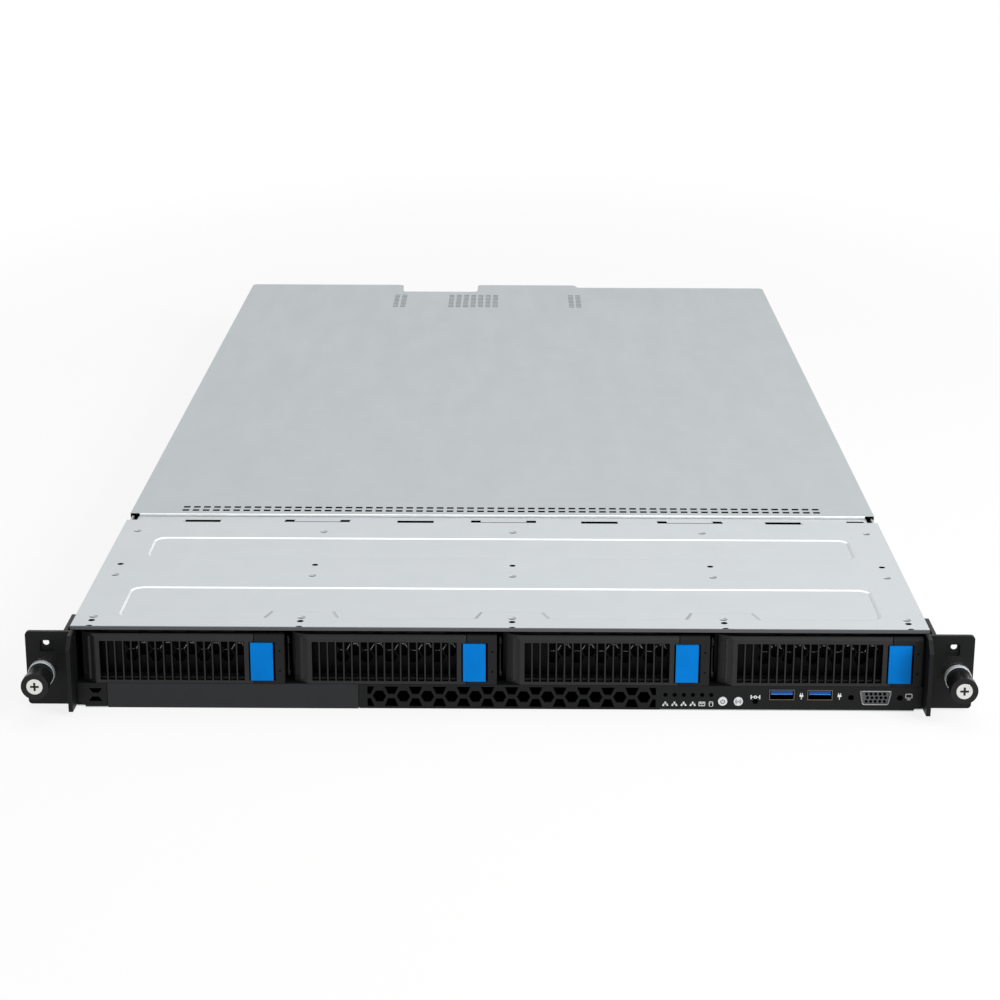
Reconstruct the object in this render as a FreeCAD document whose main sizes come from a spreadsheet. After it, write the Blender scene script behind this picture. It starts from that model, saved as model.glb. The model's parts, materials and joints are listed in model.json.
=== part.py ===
"""A 1u rack server: sheet-metal case, four front drive trays, fans, board and two supplies.

Row frame: X to the right seen from the front, Y towards the rear, Z up. The origin is at mid
width on the underside, in the plane where the rear faces of the ears meet the rack posts.
"""
import FreeCAD, Part
import os
import re

import Sketcher
from FreeCAD import Vector

SIZES = {
    # Case and rack
    "bay_margin": 3.85,
    "ear_reach": 23.1,
    "rack_hole_inset": 8.75,
    "case_height": 44.0,
    "case_depth": 845.7,
    "notch_setback": 27.5,
    "supply_setback": 9.5,
    "sheet_thick": 1.0,
    "lid_corner": 4.0,
    "lid_vent_first": 29.5,
    "lid_vent_pitch": 6.0,
    "lid_vent_wide": 4.0,
    "lid_vent_long": 3.0,
    "lid_vent_line": 5.3,
    "lid_row_pitch": 6.2,
    "patch_pitch": 6.1,
    "patch_slot": 4.1,
    "patch_rows": 10,
    "patch_row_pitch": 5.6,
    "patch_row_deep": 3.2,
    "patch_setback": 88.5,
    "mid_patch_left": 48.3,
    "left_patch_at": 94.1,
    "right_patch_at": 51.3,
    "fit_gap": 0.2,
    "run_gap": 0.3,
    "cover_flange": 8.0,
    "joint_line": 189.2,
    "lobe_left": 89.0,
    "lobe_mid": 25.0,
    "supply_wall": 3.75,
    # Ears
    "ear_thick": 2.3,
    "ear_bottom": 1.8,
    "ear_height": 39.4,
    "ear_corner": 2.0,
    "ear_side_depth": 25.2,
    "ear_side_thick": 2.0,
    "ear_side_gap": 1.7,
    "fin_reach": 12.0,
    "fin_thick": 2.2,
    "fin_slope_run": 6.0,
    "fin_slope_drop": 5.6,
    "fin_foot_rise": 0.4,
    "ear_window_wide": 7.4,
    "ear_window_tall": 6.0,
    "ear_window_inset": 7.5,
    "ear_window_base": 30.5,
    "ear_window_web": 0.8,
    "peg_hole_inset": 10.3,
    "peg_hole_rise": 4.4,
    "peg_hole_dia": 3.3,
    # Rack screws
    "screw_height": 20.6,
    "screw_dia": 6.0,
    "screw_neck_dia": 5.0,
    "bore_gap": 0.1,
    "collar_dia": 13.6,
    "collar_long": 4.6,
    "knob_dia": 12.0,
    "knob_long": 14.8,
    "knob_head_dia": 13.8,
    "knob_head_long": 4.4,
    "screw_head_dia": 8.1,
    "screw_head_long": 2.4,
    "screw_tail": 9.0,
    "cross_long": 4.4,
    "cross_wide": 1.1,
    "cross_deep": 1.3,
    # Lower panel
    "panel_inset": 2.0,
    "panel_height": 13.3,
    "panel_thick": 1.5,
    "panel_floor": 1.0,
    "panel_flange": 8.8,
    "corner_run": 4.0,
    "corner_rise": 2.0,
    "blank_inset": 15.2,
    "blank_wide": 129.2,
    "blank_depth": 14.0,
    "blank_wall": 1.2,
    "blank_lip_inset": 1.0,
    "mesh_gap": 2.8,
    "hex_side": 3.5,
    "hex_pitch": 12.3,
    "hex_centre": 6.9,
    "hex_inset": 7.65,
    "half_hex_foot": 3.4,
    "half_hex_head": 7.1,
    "half_hex_near": 1.1,
    "half_hex_far": 5.6,
    "half_hex_top": 5.3,
    "bow_inset": 9.3,
    "bow_near": 1.0,
    "bow_far": 3.6,
    # Controls
    "led_inset": 131.2,
    "led_pitch": 4.68,
    "led_count": 6,
    "led_height": 8.4,
    "led_dia": 2.0,
    "pipe_gap": 0.3,
    "pipe_long": 8.0,
    "power_offset": 29.3,
    "locator_offset": 37.3,
    "reset_offset": 46.0,
    "button_height": 5.0,
    "button_dia": 4.7,
    "button_long": 4.6,
    "button_proud": 0.3,
    "button_travel": 0.8,
    "reset_dia": 2.3,
    "usb_offset": 59.45,
    "usb_pitch": 19.45,
    "usb_wide": 13.0,
    "usb_tall": 5.7,
    "usb_height": 8.7,
    "usb_long": 14.0,
    "usb_wall": 0.4,
    "usb_back": 1.0,
    "usb_foot_start": 4.0,
    "tongue_wide": 11.0,
    "tongue_tall": 1.8,
    "tongue_lift": 0.1,
    "tongue_set": 0.8,
    "vga_offset": 107.3,
    "vga_height": 7.3,
    "vga_top_wide": 16.6,
    "vga_foot_wide": 13.4,
    "vga_tall": 7.8,
    "vga_rim": 0.5,
    "vga_rim_deep": 1.0,
    "vga_flange_wide": 31.0,
    "vga_flange_lift": 1.0,
    "vga_body_long": 9.0,
    "vga_pin_deep": 4.0,
    "vga_pin_pitch": 2.3,
    "vga_row_pitch": 2.0,
    "vga_pin_hole": 0.9,
    "vga_screw_span": 25.0,
    "vga_screw_dia": 3.0,
    "io_board_lead": 2.5,
    "io_board_inset": 3.2,
    "io_board_deep": 46.0,
    "io_board_top": 2.4,
    "io_board_thick": 1.0,
    "spacer_inset": 8.0,
    "spacer_dia": 5.0,
    "switch_wide": 6.0,
    "switch_deep": 3.5,
    "switch_rise": 1.5,
    "board_thick": 1.6,
    # Trays
    "tray_gap": 4.5,
    "drive_play": 1.1,
    "tray_shift": 0.95,
    "tray_top": 40.0,
    "tray_bevel_run": 1.4,
    "tray_bevel_drop": 1.6,
    "tray_long": 168.0,
    "tray_sheet": 1.2,
    "rail_thick": 1.4,
    "rail_left_out": 1.3,
    "rail_height": 22.0,
    "keeper_width": 15.4,
    "bezel_depth": 8.0,
    "tray_hex_first": 24.5,
    "tray_hex_base": 24.4,
    "tray_hex_rise": 7.1,
    "lamp_inset": 2.3,
    "lamp_side": 0.55,
    "upper_lamp": 31.3,
    "lower_lamp": 20.4,
    "grid_setback": 11.0,
    "grid_thick": 1.0,
    "face_thick": 1.8,
    "wedge_run": 7.4,
    "wedge_drop": 4.7,
    "pivot_in": 3.7,
    "pivot_back": 6.8,
    "pivot_dia": 2.0,
    "lug_left": 0.8,
    "lug_right": 4.8,
    "lug_front": 1.8,
    "lug_thick": 1.3,
    "rim_thick": 1.2,
    "rim_inset": 2.2,
    "rim_start": 0.5,
    "rim_lap": 0.1,
    "wedge_mitre": 0.6,
    "web_lap": 0.2,
    "web_right": 0.9,
    "web_rear": 1.6,
    "barrel_dia": 4.2,
    "slot_first": 9.8,
    "slot_pitch": 4.14,
    "slot_wide": 3.1,
    "slot_base": 15.3,
    "slot_tall": 20.8,
    "slot_count": 18,
    "latch_wide": 11.5,
    "latch_tall": 20.4,
    "latch_inset": 5.7,
    "latch_base": 15.3,
    "latch_long": 7.6,
    "latch_cap": 2.4,
    "latch_step": 3.0,
    "latch_proud": 0.6,
    "latch_travel": 2.0,
    "latch_gap_right": 0.8,
    "drive_width": 101.6,
    "drive_long": 147.0,
    "drive_tall": 26.1,
    "drive_setback": 16.0,
    "lid_step_wide": 4.0,
    "lid_step_deep": 3.0,
    "recess_start": 30.0,
    "recess_end": 6.0,
    "recess_deep": 3.0,
    "divider_deep": 162.0,
    "divider_start": 12.3,
    "divider_top": 42.2,
    "divider_flange": 9.0,
    "divider_shift": 0.6,
    # Front cover and rail
    "top_rail_sheet": 0.6,
    "top_rail_lap": 12.0,
    "emboss_deep": 0.4,
    "emboss_inset": 21.7,
    "emboss_corner": 7.0,
    "rear_emboss_start": 108.2,
    "rear_emboss_end": 144.7,
    "front_emboss_start": 12.2,
    "front_emboss_end": 59.7,
    "front_emboss_notch": 9.2,
    "notch_half": 15.0,
    "notch_slope": 3.0,
    "column_offset": 3.2,
    "edge_column_inset": 9.5,
    "cover_hole_dia": 3.4,
    "cover_hole_line": 96.7,
    "front_hole_line": 7.4,
    "dimple_dia": 4.2,
    "dimple_deep": 0.35,
    "dimple_front": 13.0,
    "dimple_middle": 79.0,
    "dimple_rear": 156.0,
    "bend_slot_wide": 21.4,
    "bend_slot_front": 3.6,
    "bend_slot_rear": 5.8,
    "bend_slot_far_left": 44.0,
    "bend_slot_left": 50.3,
    "bend_slot_right": 56.8,
    "bend_slot_far_right": 54.6,
    "lance_offset": 2.2,
    "lance_wide": 37.8,
    "lance_line": 1.9,
    "lance_gap": 0.5,
    "strip_drop": 1.7,
    "strip_inset": 4.9,
    "strip_lap": 3.8,
    "step_line": 176.7,
    # Cooling
    "fan_size": 40.0,
    "fan_long": 28.0,
    "fan_start": 188.0,
    "bridge_lift": 0.4,
    "fan_room": 6.0,
    "fan_bore_dia": 38.0,
    "fan_hub_dia": 17.0,
    "fan_shaft_dia": 3.0,
    "fan_shaft_start": 8.0,
    "rotor_setback": 1.5,
    "blade_root": 0.8,
    "blade_gap": 0.8,
    "blade_thick": 1.2,
    "blade_chord": 15.0,
    "blade_lean": 9.0,
    "blade_count": 5,
    "strut_wide": 3.0,
    "strut_thick": 3.0,
    # Boards
    "backplane_start": 176.9,
    "backplane_margin": 2.0,
    "backplane_drop": 1.0,
    "air_window_inset": 12.0,
    "air_window_step": 44.0,
    "air_window_wide": 34.0,
    "air_window_low": 24.0,
    "air_window_high": 38.0,
    "drive_socket_at": 50.0,
    "drive_socket_wide": 34.0,
    "drive_socket_low": 15.2,
    "drive_socket_high": 22.0,
    "mainboard_start": 300.0,
    "mainboard_waist": 636.0,
    "mainboard_end": 814.0,
    "mainboard_room": 4.0,
    "mainboard_neck_gap": 3.0,
    "mainboard_base": 6.0,
    "standoff_side": 3.6,
    "standoff_inset": 14.0,
    "socket_tall": 4.0,
    "cpu_socket_wide": 70.0,
    "chip_left": 60.0,
    "chip_line": 690.0,
    "chip_wide": 40.0,
    "chip_tall": 9.0,
    "cpu_shift": 6.0,
    "cpu_line": 400.0,
    "sink_wide": 78.0,
    "sink_long": 108.0,
    "sink_tall": 25.0,
    "sink_base": 4.0,
    "fin_step": 3.9,
    "fin_count": 20,
    "fin_sheet": 0.5,
    "memory_long": 133.4,
    "memory_tall": 31.2,
    "memory_thick": 1.4,
    "memory_pitch": 9.0,
    "memory_count": 4,
    "memory_offset": 46.0,
    "slot_connector_wide": 6.4,
    "slot_connector_tall": 7.0,
    "shroud_start": 218.0,
    "shroud_long": 256.0,
    "shroud_room": 19.0,
    "shroud_top": 42.4,
    "shroud_wall": 1.2,
    "shroud_step": 8.0,
    "shroud_lead": 6.0,
    # Rear
    "jack_wide": 15.8,
    "jack_tall": 13.4,
    "jack_long": 21.0,
    "jack_open_wide": 11.8,
    "jack_open_tall": 8.2,
    "jack_open_deep": 13.0,
    "jack_first": 76.5,
    "jack_pitch": 17.5,
    "usb_stack_at": 34.0,
    "usb_stack_wide": 13.4,
    "jack_sill": 2.0,
    "stack_slot_low": 2.2,
    "stack_slot_high": 8.6,
    "stack_slot_tall": 2.6,
    "stack_slot_deep": 9.0,
    "riser_long": 120.0,
    "riser_inset": 14.0,
    "riser_offset": 8.0,
    "riser_tall": 30.0,
    "card_slot_rise": 16.0,
    "card_slot_wide": 7.5,
    "card_slot_deep": 9.0,
    "slot_window_tall": 17.5,
    "slot_window_base": 22.5,
    "window_start": 4.5,
    "blank_lap": 2.0,
    "rear_vent_start": 8.0,
    "rear_vent_wide": 3.0,
    "rear_vent_base": 8.0,
    "rear_vent_tall": 10.0,
    "rear_vent_pitch": 5.2,
    "full_window_room": 19.0,
    "low_window_room": 16.0,
    "supply_width": 73.5,
    "supply_tall": 39.0,
    "supply_long": 185.0,
    "supply_pitch": 78.0,
    "supply_room": 1.75,
    "supply_lift": 0.3,
    "power_board_lead": 10.0,
    "power_socket_wide": 56.0,
    "power_socket_low": 8.0,
    "power_socket_high": 18.0,
    "cage_half": 0.8,
    "cage_inset": 2.0,
    "inlet_wide": 24.6,
    "inlet_tall": 16.8,
    "inlet_deep": 17.0,
    "inlet_pin_long": 11.0,
    "inlet_pin_span": 14.0,
    "inlet_pin_drop": 1.5,
    "inlet_pin_rise": 2.0,
    "inlet_pin_wide": 2.0,
    "inlet_offset": 19.0,
    "inlet_height": 15.0,
    "supply_vent_left": 3.0,
    "supply_vent_low": 5.0,
    "supply_vent_high": 28.0,
    "supply_vent_wide": 2.6,
    "supply_vent_deep": 4.0,
    "supply_vent_pitch": 3.8,
    "supply_vent_count": 7,
    "handle_wide": 42.0,
    "handle_reach": 22.0,
    "handle_bar": 5.0,
    "handle_thick": 5.0,
    "handle_height": 33.0,
    "tab_inset": 1.2,
    "tab_wide": 3.4,
    "tab_room": 0.4,
    "tab_travel": 4.4,
    "tab_low": 10.3,
    "tab_high": 23.7,
    "tab_deep": 5.7,
    "tab_head_wide": 5.0,
    "tab_head_deep": 6.0,
    # Side studs
    "stud_dia": 4.4,
    "stud_long": 2.2,
    "stud_head_dia": 7.5,
    "stud_head_long": 1.2,
    "stud_height": 20.0,
    "stud_first": 70.0,
    "stud_pitch": 270.0,
    "stud_count": 3,
}

DOC = FreeCAD.newDocument("rack_server")
DIMS = DOC.addObject("Spreadsheet::Sheet", "Dims")
for line, (alias, size) in enumerate(SIZES.items(), start=1):
    DIMS.set(f"A{line}", alias)
    DIMS.set(f"B{line}", str(size))
    DIMS.setAlias(f"B{line}", alias)
DOC.recompute()

ALIAS = re.compile(r"\b[a-z]+(?:_[a-z]+)+\b")


def bound(expression):
    """The expression with each size name pointed at the spreadsheet."""
    return ALIAS.sub(r"Dims.\g<0>", str(expression))


def value(expression):
    """The expression's value now."""
    return float(DIMS.evalExpression(str(expression)))


def rect(left, low, right, high):
    """A rectangle from two corners, each coordinate an expression."""
    return [(left, low), (right, low), (right, high), (left, high)]


def disc(across, up, diameter):
    """A circle by its centre and diameter."""
    return {"centre": (across, up), "radius": f"({diameter})/2"}


def hexagon(across, up, side):
    """A hexagon with flat top and bottom."""
    half = f"({side})*sqrt(3)/2"
    right, left = f"{across}+{side}", f"{across}-({side})"
    inner_right, inner_left = f"{across}+({side})/2", f"{across}-({side})/2"
    return [(left, up), (inner_left, f"{up}-{half}"), (inner_right, f"{up}-{half}"),
            (right, up), (inner_right, f"{up}+{half}"), (inner_left, f"{up}+{half}")]


class Piece:
    """One sub-part as a body, with short calls for the features that its maker would use.

    A sketch lies in the XY, XZ or YZ plane at a height along the plane's own row axis, and
    every pad and pocket runs from there in the positive direction of that axis.
    """

    PLANES = {"XY": (1, False), "XZ": (-1, True), "YZ": (1, False)}

    def __init__(self, label, base=None):
        self.body = DOC.addObject("PartDesign::Body", label)
        self.body.Label = label
        self.origin = {item.Role: item for item in self.body.Origin.OriginFeatures}
        if base:
            for axis, expression in zip("xyz", base):
                self.body.setExpression(f"Placement.Base.{axis}", bound(expression))

    def feature(self, kind):
        name = f"{self.body.Name}_{kind}"
        return self.body.newObject(f"PartDesign::{kind}", name)

    def sketch(self, plane, at, loops):
        sign = self.PLANES[plane][0]
        sketch = self.body.newObject("Sketcher::SketchObject", f"{self.body.Name}_sketch")
        sketch.AttachmentSupport = (self.origin[f"{plane}_Plane"], [""])
        sketch.MapMode = "FlatFace"
        sketch.setExpression("AttachmentOffset.Base.z", bound(f"{sign}*({at})"))
        for loop in loops:
            if isinstance(loop, dict):
                self.add_circle(sketch, loop)
            else:
                self.add_outline(sketch, loop)
        return sketch

    @staticmethod
    def pin_point(sketch, geometry, point, where):
        for kind, expression in zip(("DistanceX", "DistanceY"), where):
            rule = Sketcher.Constraint(kind, -1, 1, geometry, point, value(expression))
            index = sketch.addConstraint(rule)
            sketch.setExpression(f"Constraints[{index}]", bound(expression))

    def add_outline(self, sketch, points):
        first = sketch.GeometryCount
        places = [Vector(value(across), value(up), 0) for across, up in points]
        count = len(places)
        for step in range(count):
            edge = Part.LineSegment(places[step], places[(step + 1) % count])
            sketch.addGeometry(edge, False)
        for step in range(count):
            after = first + (step + 1) % count
            sketch.addConstraint(Sketcher.Constraint("Coincident", first + step, 2, after, 1))
        for step, where in enumerate(points):
            self.pin_point(sketch, first + step, 1, where)

    def add_circle(self, sketch, loop):
        index = sketch.GeometryCount
        across, up = loop["centre"]
        centre = Vector(value(across), value(up), 0)
        radius = value(loop["radius"])
        sketch.addGeometry(Part.Circle(centre, Vector(0, 0, 1), radius), False)
        self.pin_point(sketch, index, 3, loop["centre"])
        rule = sketch.addConstraint(Sketcher.Constraint("Radius", index, radius))
        sketch.setExpression(f"Constraints[{rule}]", bound(loop["radius"]))

    def pad(self, plane, at, loops, length):
        pad = self.feature("Pad")
        pad.Profile = self.sketch(plane, at, loops)
        pad.Reversed = self.PLANES[plane][1]
        pad.setExpression("Length", bound(length))
        return pad

    def pocket(self, plane, at, loops, length):
        pocket = self.feature("Pocket")
        pocket.Profile = self.sketch(plane, at, loops)
        pocket.Reversed = not self.PLANES[plane][1]
        pocket.setExpression("Length", bound(length))
        return pocket

    def repeat(self, feature, axis, count, step, second=None):
        pattern = self.feature("LinearPattern")
        pattern.Originals = [feature]
        pattern.Direction = (self.origin[f"{axis}_Axis"], [""])
        pattern.Mode = "Spacing"
        pattern.setExpression("Offset", bound(step))
        pattern.setExpression("Occurrences", bound(count))
        if second:
            axis, count, step = second
            pattern.Direction2 = (self.origin[f"{axis}_Axis"], [""])
            pattern.Mode2 = "Spacing"
            pattern.setExpression("Offset2", bound(step))
            pattern.setExpression("Occurrences2", bound(count))
        self.body.Tip = pattern
        return pattern

    def spin(self, feature, axis, count):
        pattern = self.feature("PolarPattern")
        pattern.Originals = [feature]
        pattern.Axis = (self.origin[f"{axis}_Axis"], [""])
        pattern.Angle = 360
        pattern.setExpression("Occurrences", bound(count))
        self.body.Tip = pattern
        return pattern

    def loft(self, plane, sections):
        sketches = [self.sketch(plane, at, [loop]) for at, loop in sections]
        loft = self.feature("AdditiveLoft")
        loft.Profile = sketches[0]
        loft.Sections = sketches[1:]
        return loft

    def soften(self, kind, size, choose):
        """A fillet or chamfer on the edges that the test picks."""
        DOC.recompute()
        base = self.body.Tip
        names = [f"Edge{index}" for index, edge in enumerate(base.Shape.Edges, 1)
                 if choose(edge)]
        feature = self.feature(kind)
        feature.Base = (base, names)
        feature.setExpression("Radius" if kind == "Fillet" else "Size", bound(size))
        self.body.Tip = feature
        return feature


def along(edge, axis):
    """True for a straight edge that runs along one axis."""
    if not isinstance(edge.Curve, Part.Line):
        return False
    return abs(getattr(edge.tangentAt(edge.FirstParameter), axis)) > 0.999


# Places that several pieces share
FACE = "-ear_thick"
TRAY_WIDE = "(drive_width+2*drive_play)"
TRAY_PITCH = f"({TRAY_WIDE}+tray_gap)"
TRAYS_WIDE = f"(3*{TRAY_PITCH}+{TRAY_WIDE})"
HALF = f"({TRAYS_WIDE}/2+bay_margin)"
EDGE = f"({HALF}-panel_inset)"
RACK_HALF = f"({HALF}+ear_reach)"
SCREW_AT = f"({RACK_HALF}-rack_hole_inset)"
WALL_OUT = f"({HALF}-sheet_thick-fit_gap)"
WALL_IN = f"({WALL_OUT}-sheet_thick)"
WALL_TOP = "(case_height-sheet_thick-fit_gap)"
COVER_LOW = "(case_height-sheet_thick)"
LIP_THICK = "(sheet_thick+fit_gap)"
NOTCH_REAR = "(case_depth-notch_setback)"
SUPPLY_REAR = "(case_depth-supply_setback)"
TRAY_FLOOR = "(panel_height+fit_gap)"
SPLIT = f"({TRAY_WIDE}-keeper_width)"
SHELF_START = "(panel_flange+fit_gap)"
BOARD_TOP = "(mainboard_base+board_thick)"
IO_TOP = "io_board_top"
EAR_IN = f"({EDGE}+fit_gap)"
EAR_TOP = "(ear_bottom+ear_height)"
BLANK_LEFT = f"({EDGE}-blank_inset)"
BLANK_RIGHT = f"({BLANK_LEFT}-blank_wide)"
LED_AT = f"({EDGE}-led_inset)"
MESH_LEFT = f"({BLANK_RIGHT}-mesh_gap)"
MESH_RIGHT = f"({LED_AT}-mesh_gap)"
POWER_AT = f"({LED_AT}+power_offset)"
LOCATOR_AT = f"({LED_AT}+locator_offset)"
RESET_AT = f"({LED_AT}+reset_offset)"
USB_AT = f"({LED_AT}+usb_offset)"
VGA_AT = f"({LED_AT}+vga_offset)"
SUPPLY_MID = f"({WALL_IN}-supply_room-supply_width/2-supply_pitch/2)"
LOBE_RIGHT = f"({SUPPLY_MID}-supply_pitch/2-supply_width/2-supply_wall)"
BOARD_HALF = f"({WALL_IN}-mainboard_room)"
BOARD_NECK = f"({LOBE_RIGHT}-mainboard_neck_gap)"
CPU_AT = f"({BOARD_HALF}/2-cpu_shift)"
FAN_PITCH = f"((2*{WALL_IN}-2*fan_room)/6)"
HEX_FIRST = f"({MESH_LEFT}-hex_inset)"
HEX_COUNT = f"(floor(({MESH_RIGHT}+{HEX_FIRST}-hex_side)/hex_pitch)+1)"
FULL_WINDOW = f"({WALL_IN}-lobe_left-full_window_room)"
LOW_WINDOW = f"({LOBE_RIGHT}+lobe_mid-low_window_room)"
SHROUD_HALF = f"({CPU_AT}+memory_offset+3*memory_pitch+shroud_room)"


def tray_left(index):
    return f"(tray_shift-{TRAYS_WIDE}/2+{index}*{TRAY_PITCH})"


def chassis_base():
    """Folded base: a floor, two side walls and a rear wall that steps round the I/O notch."""
    piece = Piece("chassis_base")
    rear = "(case_depth-fit_gap)"
    notch = f"({NOTCH_REAR}-fit_gap)"
    supply = f"({SUPPLY_REAR}-fit_gap)"
    behind = f"{FACE}+panel_thick"
    out, edge = WALL_OUT, EDGE
    floor = [
        (f"-{out}", "0"), (f"-{edge}+corner_run", "0"), (f"-{edge}+corner_run", FACE),
        (f"-{BLANK_LEFT}", FACE), (f"-{BLANK_LEFT}", behind), (MESH_RIGHT, behind),
        (MESH_RIGHT, FACE), (f"{edge}-corner_run", FACE), (f"{edge}-corner_run", "0"),
        (out, "0"), (out, supply), (LOBE_RIGHT, supply), (LOBE_RIGHT, rear),
        ("-lobe_mid", rear), ("-lobe_mid", notch), ("-lobe_left", notch),
        ("-lobe_left", rear), (f"-{out}", rear),
    ]
    piece.pad("XY", "0", [floor], "sheet_thick")
    skin = "sheet_thick"
    wall = [
        (f"-{out}", "0"), (f"-{WALL_IN}", "0"), (f"-{WALL_IN}", f"{rear}-{skin}"),
        (f"-lobe_left-{skin}", f"{rear}-{skin}"), (f"-lobe_left-{skin}", f"{notch}-{skin}"),
        (f"-lobe_mid+{skin}", f"{notch}-{skin}"), (f"-lobe_mid+{skin}", f"{rear}-{skin}"),
        (f"{LOBE_RIGHT}-{skin}", f"{rear}-{skin}"), (f"{LOBE_RIGHT}-{skin}", f"{supply}-{skin}"),
        (WALL_IN, f"{supply}-{skin}"), (WALL_IN, "0"), (out, "0"), (out, supply),
        (LOBE_RIGHT, supply), (LOBE_RIGHT, rear), ("-lobe_mid", rear),
        ("-lobe_mid", notch), ("-lobe_left", notch), ("-lobe_left", rear),
        (f"-{out}", rear),
    ]
    piece.pad("XY", "0", [wall], WALL_TOP)
    cards_base, cards_top = "slot_window_base", "slot_window_base+slot_window_tall"
    full = rect(f"-{WALL_IN}+window_start", cards_base,
                f"-{WALL_IN}+window_start+{FULL_WINDOW}", cards_top)
    low = rect("-lobe_mid+window_start", cards_base,
               f"-lobe_mid+window_start+{LOW_WINDOW}", cards_top)
    piece.pocket("XZ", f"{rear}-2*{skin}", [full, low], f"3*{skin}")
    bay = rect(f"{SUPPLY_MID}-supply_pitch/2-supply_width/2-run_gap", "sheet_thick",
               f"{SUPPLY_MID}+supply_pitch/2+supply_width/2+run_gap",
               "sheet_thick+supply_lift+supply_tall+run_gap")
    piece.pocket("XZ", f"{supply}-2*{skin}", [bay], f"3*{skin}")
    jacks = rect("-jack_first-jack_wide/2-run_gap", f"{BOARD_TOP}-run_gap",
                 "-usb_stack_at+usb_stack_wide/2+run_gap", f"{BOARD_TOP}+jack_tall+run_gap")
    piece.pocket("XZ", f"{notch}-2*{skin}", [jacks], f"3*{skin}")
    for start, end in ((f"-{WALL_IN}", "-lobe_left"), ("-lobe_mid", LOBE_RIGHT)):
        first = f"({start}+rear_vent_start)"
        slot = rect(first, "rear_vent_base", f"{first}+rear_vent_wide",
                    "rear_vent_base+rear_vent_tall")
        vent = piece.pocket("XZ", f"{rear}-2*{skin}", [slot], f"3*{skin}")
        count = f"floor(({end}-{first}-rear_vent_start)/rear_vent_pitch)"
        piece.repeat(vent, "X", count, "rear_vent_pitch")
    far, near = "standoff_inset", "mainboard_start+standoff_inset"
    end, waist = "mainboard_end-standoff_inset", "mainboard_waist-standoff_inset"
    places = [
        (f"-{BOARD_HALF}+{far}", near), (f"-{BOARD_HALF}+{far}", waist),
        (f"-{BOARD_HALF}+{far}", end), (f"{BOARD_NECK}-{far}", end),
        (f"{BOARD_HALF}-{far}", near), (f"{BOARD_HALF}-{far}", waist),
        ("0", "cpu_line"), ("0", waist),
    ]
    piece.pad("XY", "sheet_thick", [hexagon(x, y, "standoff_side") for x, y in places],
              "mainboard_base-sheet_thick")
    return piece


def lower_panel():
    """Black panel under the trays: blank bay, hexagon vents and the control openings."""
    piece = Piece("lower_panel")
    edge, floor, top = EDGE, "panel_floor", "panel_height"
    outline = [
        (f"-{edge}+corner_run", floor), (f"-{edge}", f"{floor}+corner_rise"),
        (f"-{edge}", top), (edge, top), (edge, f"{floor}+corner_rise"),
        (f"{edge}-corner_run", floor), (MESH_RIGHT, floor), (MESH_RIGHT, "fit_gap"),
        (f"-{BLANK_RIGHT}", "fit_gap"), (f"-{BLANK_RIGHT}", floor),
    ]
    piece.pad("XZ", FACE, [outline], "panel_thick")
    piece.pad("XY", f"{top}-sheet_thick", [rect(f"-{WALL_IN}", f"{FACE}+panel_thick",
                                                 WALL_IN, "panel_flange")], "sheet_thick")
    piece.pocket("XZ", f"{FACE}-1", [rect(f"-{BLANK_LEFT}", "-1", f"-{BLANK_RIGHT}", f"{top}+1")],
                 "panel_thick+1")
    hexes = piece.pocket("XZ", f"{FACE}-1", [hexagon(f"-{HEX_FIRST}", "hex_centre", "hex_side")],
                         "panel_thick+2")
    piece.repeat(hexes, "X", HEX_COUNT, "hex_pitch")

    def trapezium(centre, sign, near, far, left="-1", right="1"):
        """Half a hexagon above or below a centre line, cut short where a side is 0."""
        low, high = f"hex_centre+{sign}*{near}", f"hex_centre+{sign}*{far}"
        return [(f"{centre}+{left}*half_hex_foot/2", low),
                (f"{centre}+{right}*half_hex_foot/2", low),
                (f"{centre}+{right}*half_hex_head/2", high),
                (f"{centre}+{left}*half_hex_head/2", high)]

    def halves(centre, left="-1", right="1"):
        return [trapezium(centre, "1", "half_hex_near", "half_hex_top", left, right),
                trapezium(centre, "-1", "half_hex_near", "half_hex_far", left, right)]

    pairs = piece.pocket("XZ", f"{FACE}-1", halves(f"-{HEX_FIRST}+hex_pitch/2"), "panel_thick+1")
    piece.repeat(pairs, "X", f"{HEX_COUNT}-1", "hex_pitch")
    ends = halves(f"-{HEX_FIRST}-hex_pitch/2", "0")
    ends += halves(f"-{HEX_FIRST}-hex_pitch/2+{HEX_COUNT}*hex_pitch", "-1", "0")
    piece.pocket("XZ", f"{FACE}-1", ends, "panel_thick+1")
    piece.pocket("XZ", f"{FACE}-1", [
        trapezium(f"-({EDGE}-bow_inset)", "1", "bow_near", "bow_far"),
        trapezium(f"-({EDGE}-bow_inset)", "-1", "bow_near", "bow_far")], "panel_thick+1")
    lamp = piece.pocket("XZ", f"{FACE}-1", [disc(LED_AT, "led_height", "led_dia")],
                        "panel_thick+2")
    piece.repeat(lamp, "X", "led_count", "led_pitch")
    ports = [disc(POWER_AT, "button_height", "button_dia+2*fit_gap"),
             disc(LOCATOR_AT, "button_height", "button_dia+2*fit_gap"),
             disc(RESET_AT, "button_height", "reset_dia+2*fit_gap"),
             disc(f"{VGA_AT}-vga_screw_span/2", "vga_height", "vga_screw_dia"),
             disc(f"{VGA_AT}+vga_screw_span/2", "vga_height", "vga_screw_dia"),
             vga_outline("fit_gap")]
    for number in range(2):
        centre = f"{USB_AT}+{number}*usb_pitch"
        half_wide, half_tall = "(usb_wide/2+fit_gap)", "(usb_tall/2+fit_gap)"
        ports.append(rect(f"{centre}-{half_wide}", f"usb_height-{half_tall}",
                          f"{centre}+{half_wide}", f"usb_height+{half_tall}"))
    piece.pocket("XZ", f"{FACE}-1", ports, "panel_thick+2")
    return piece


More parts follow.
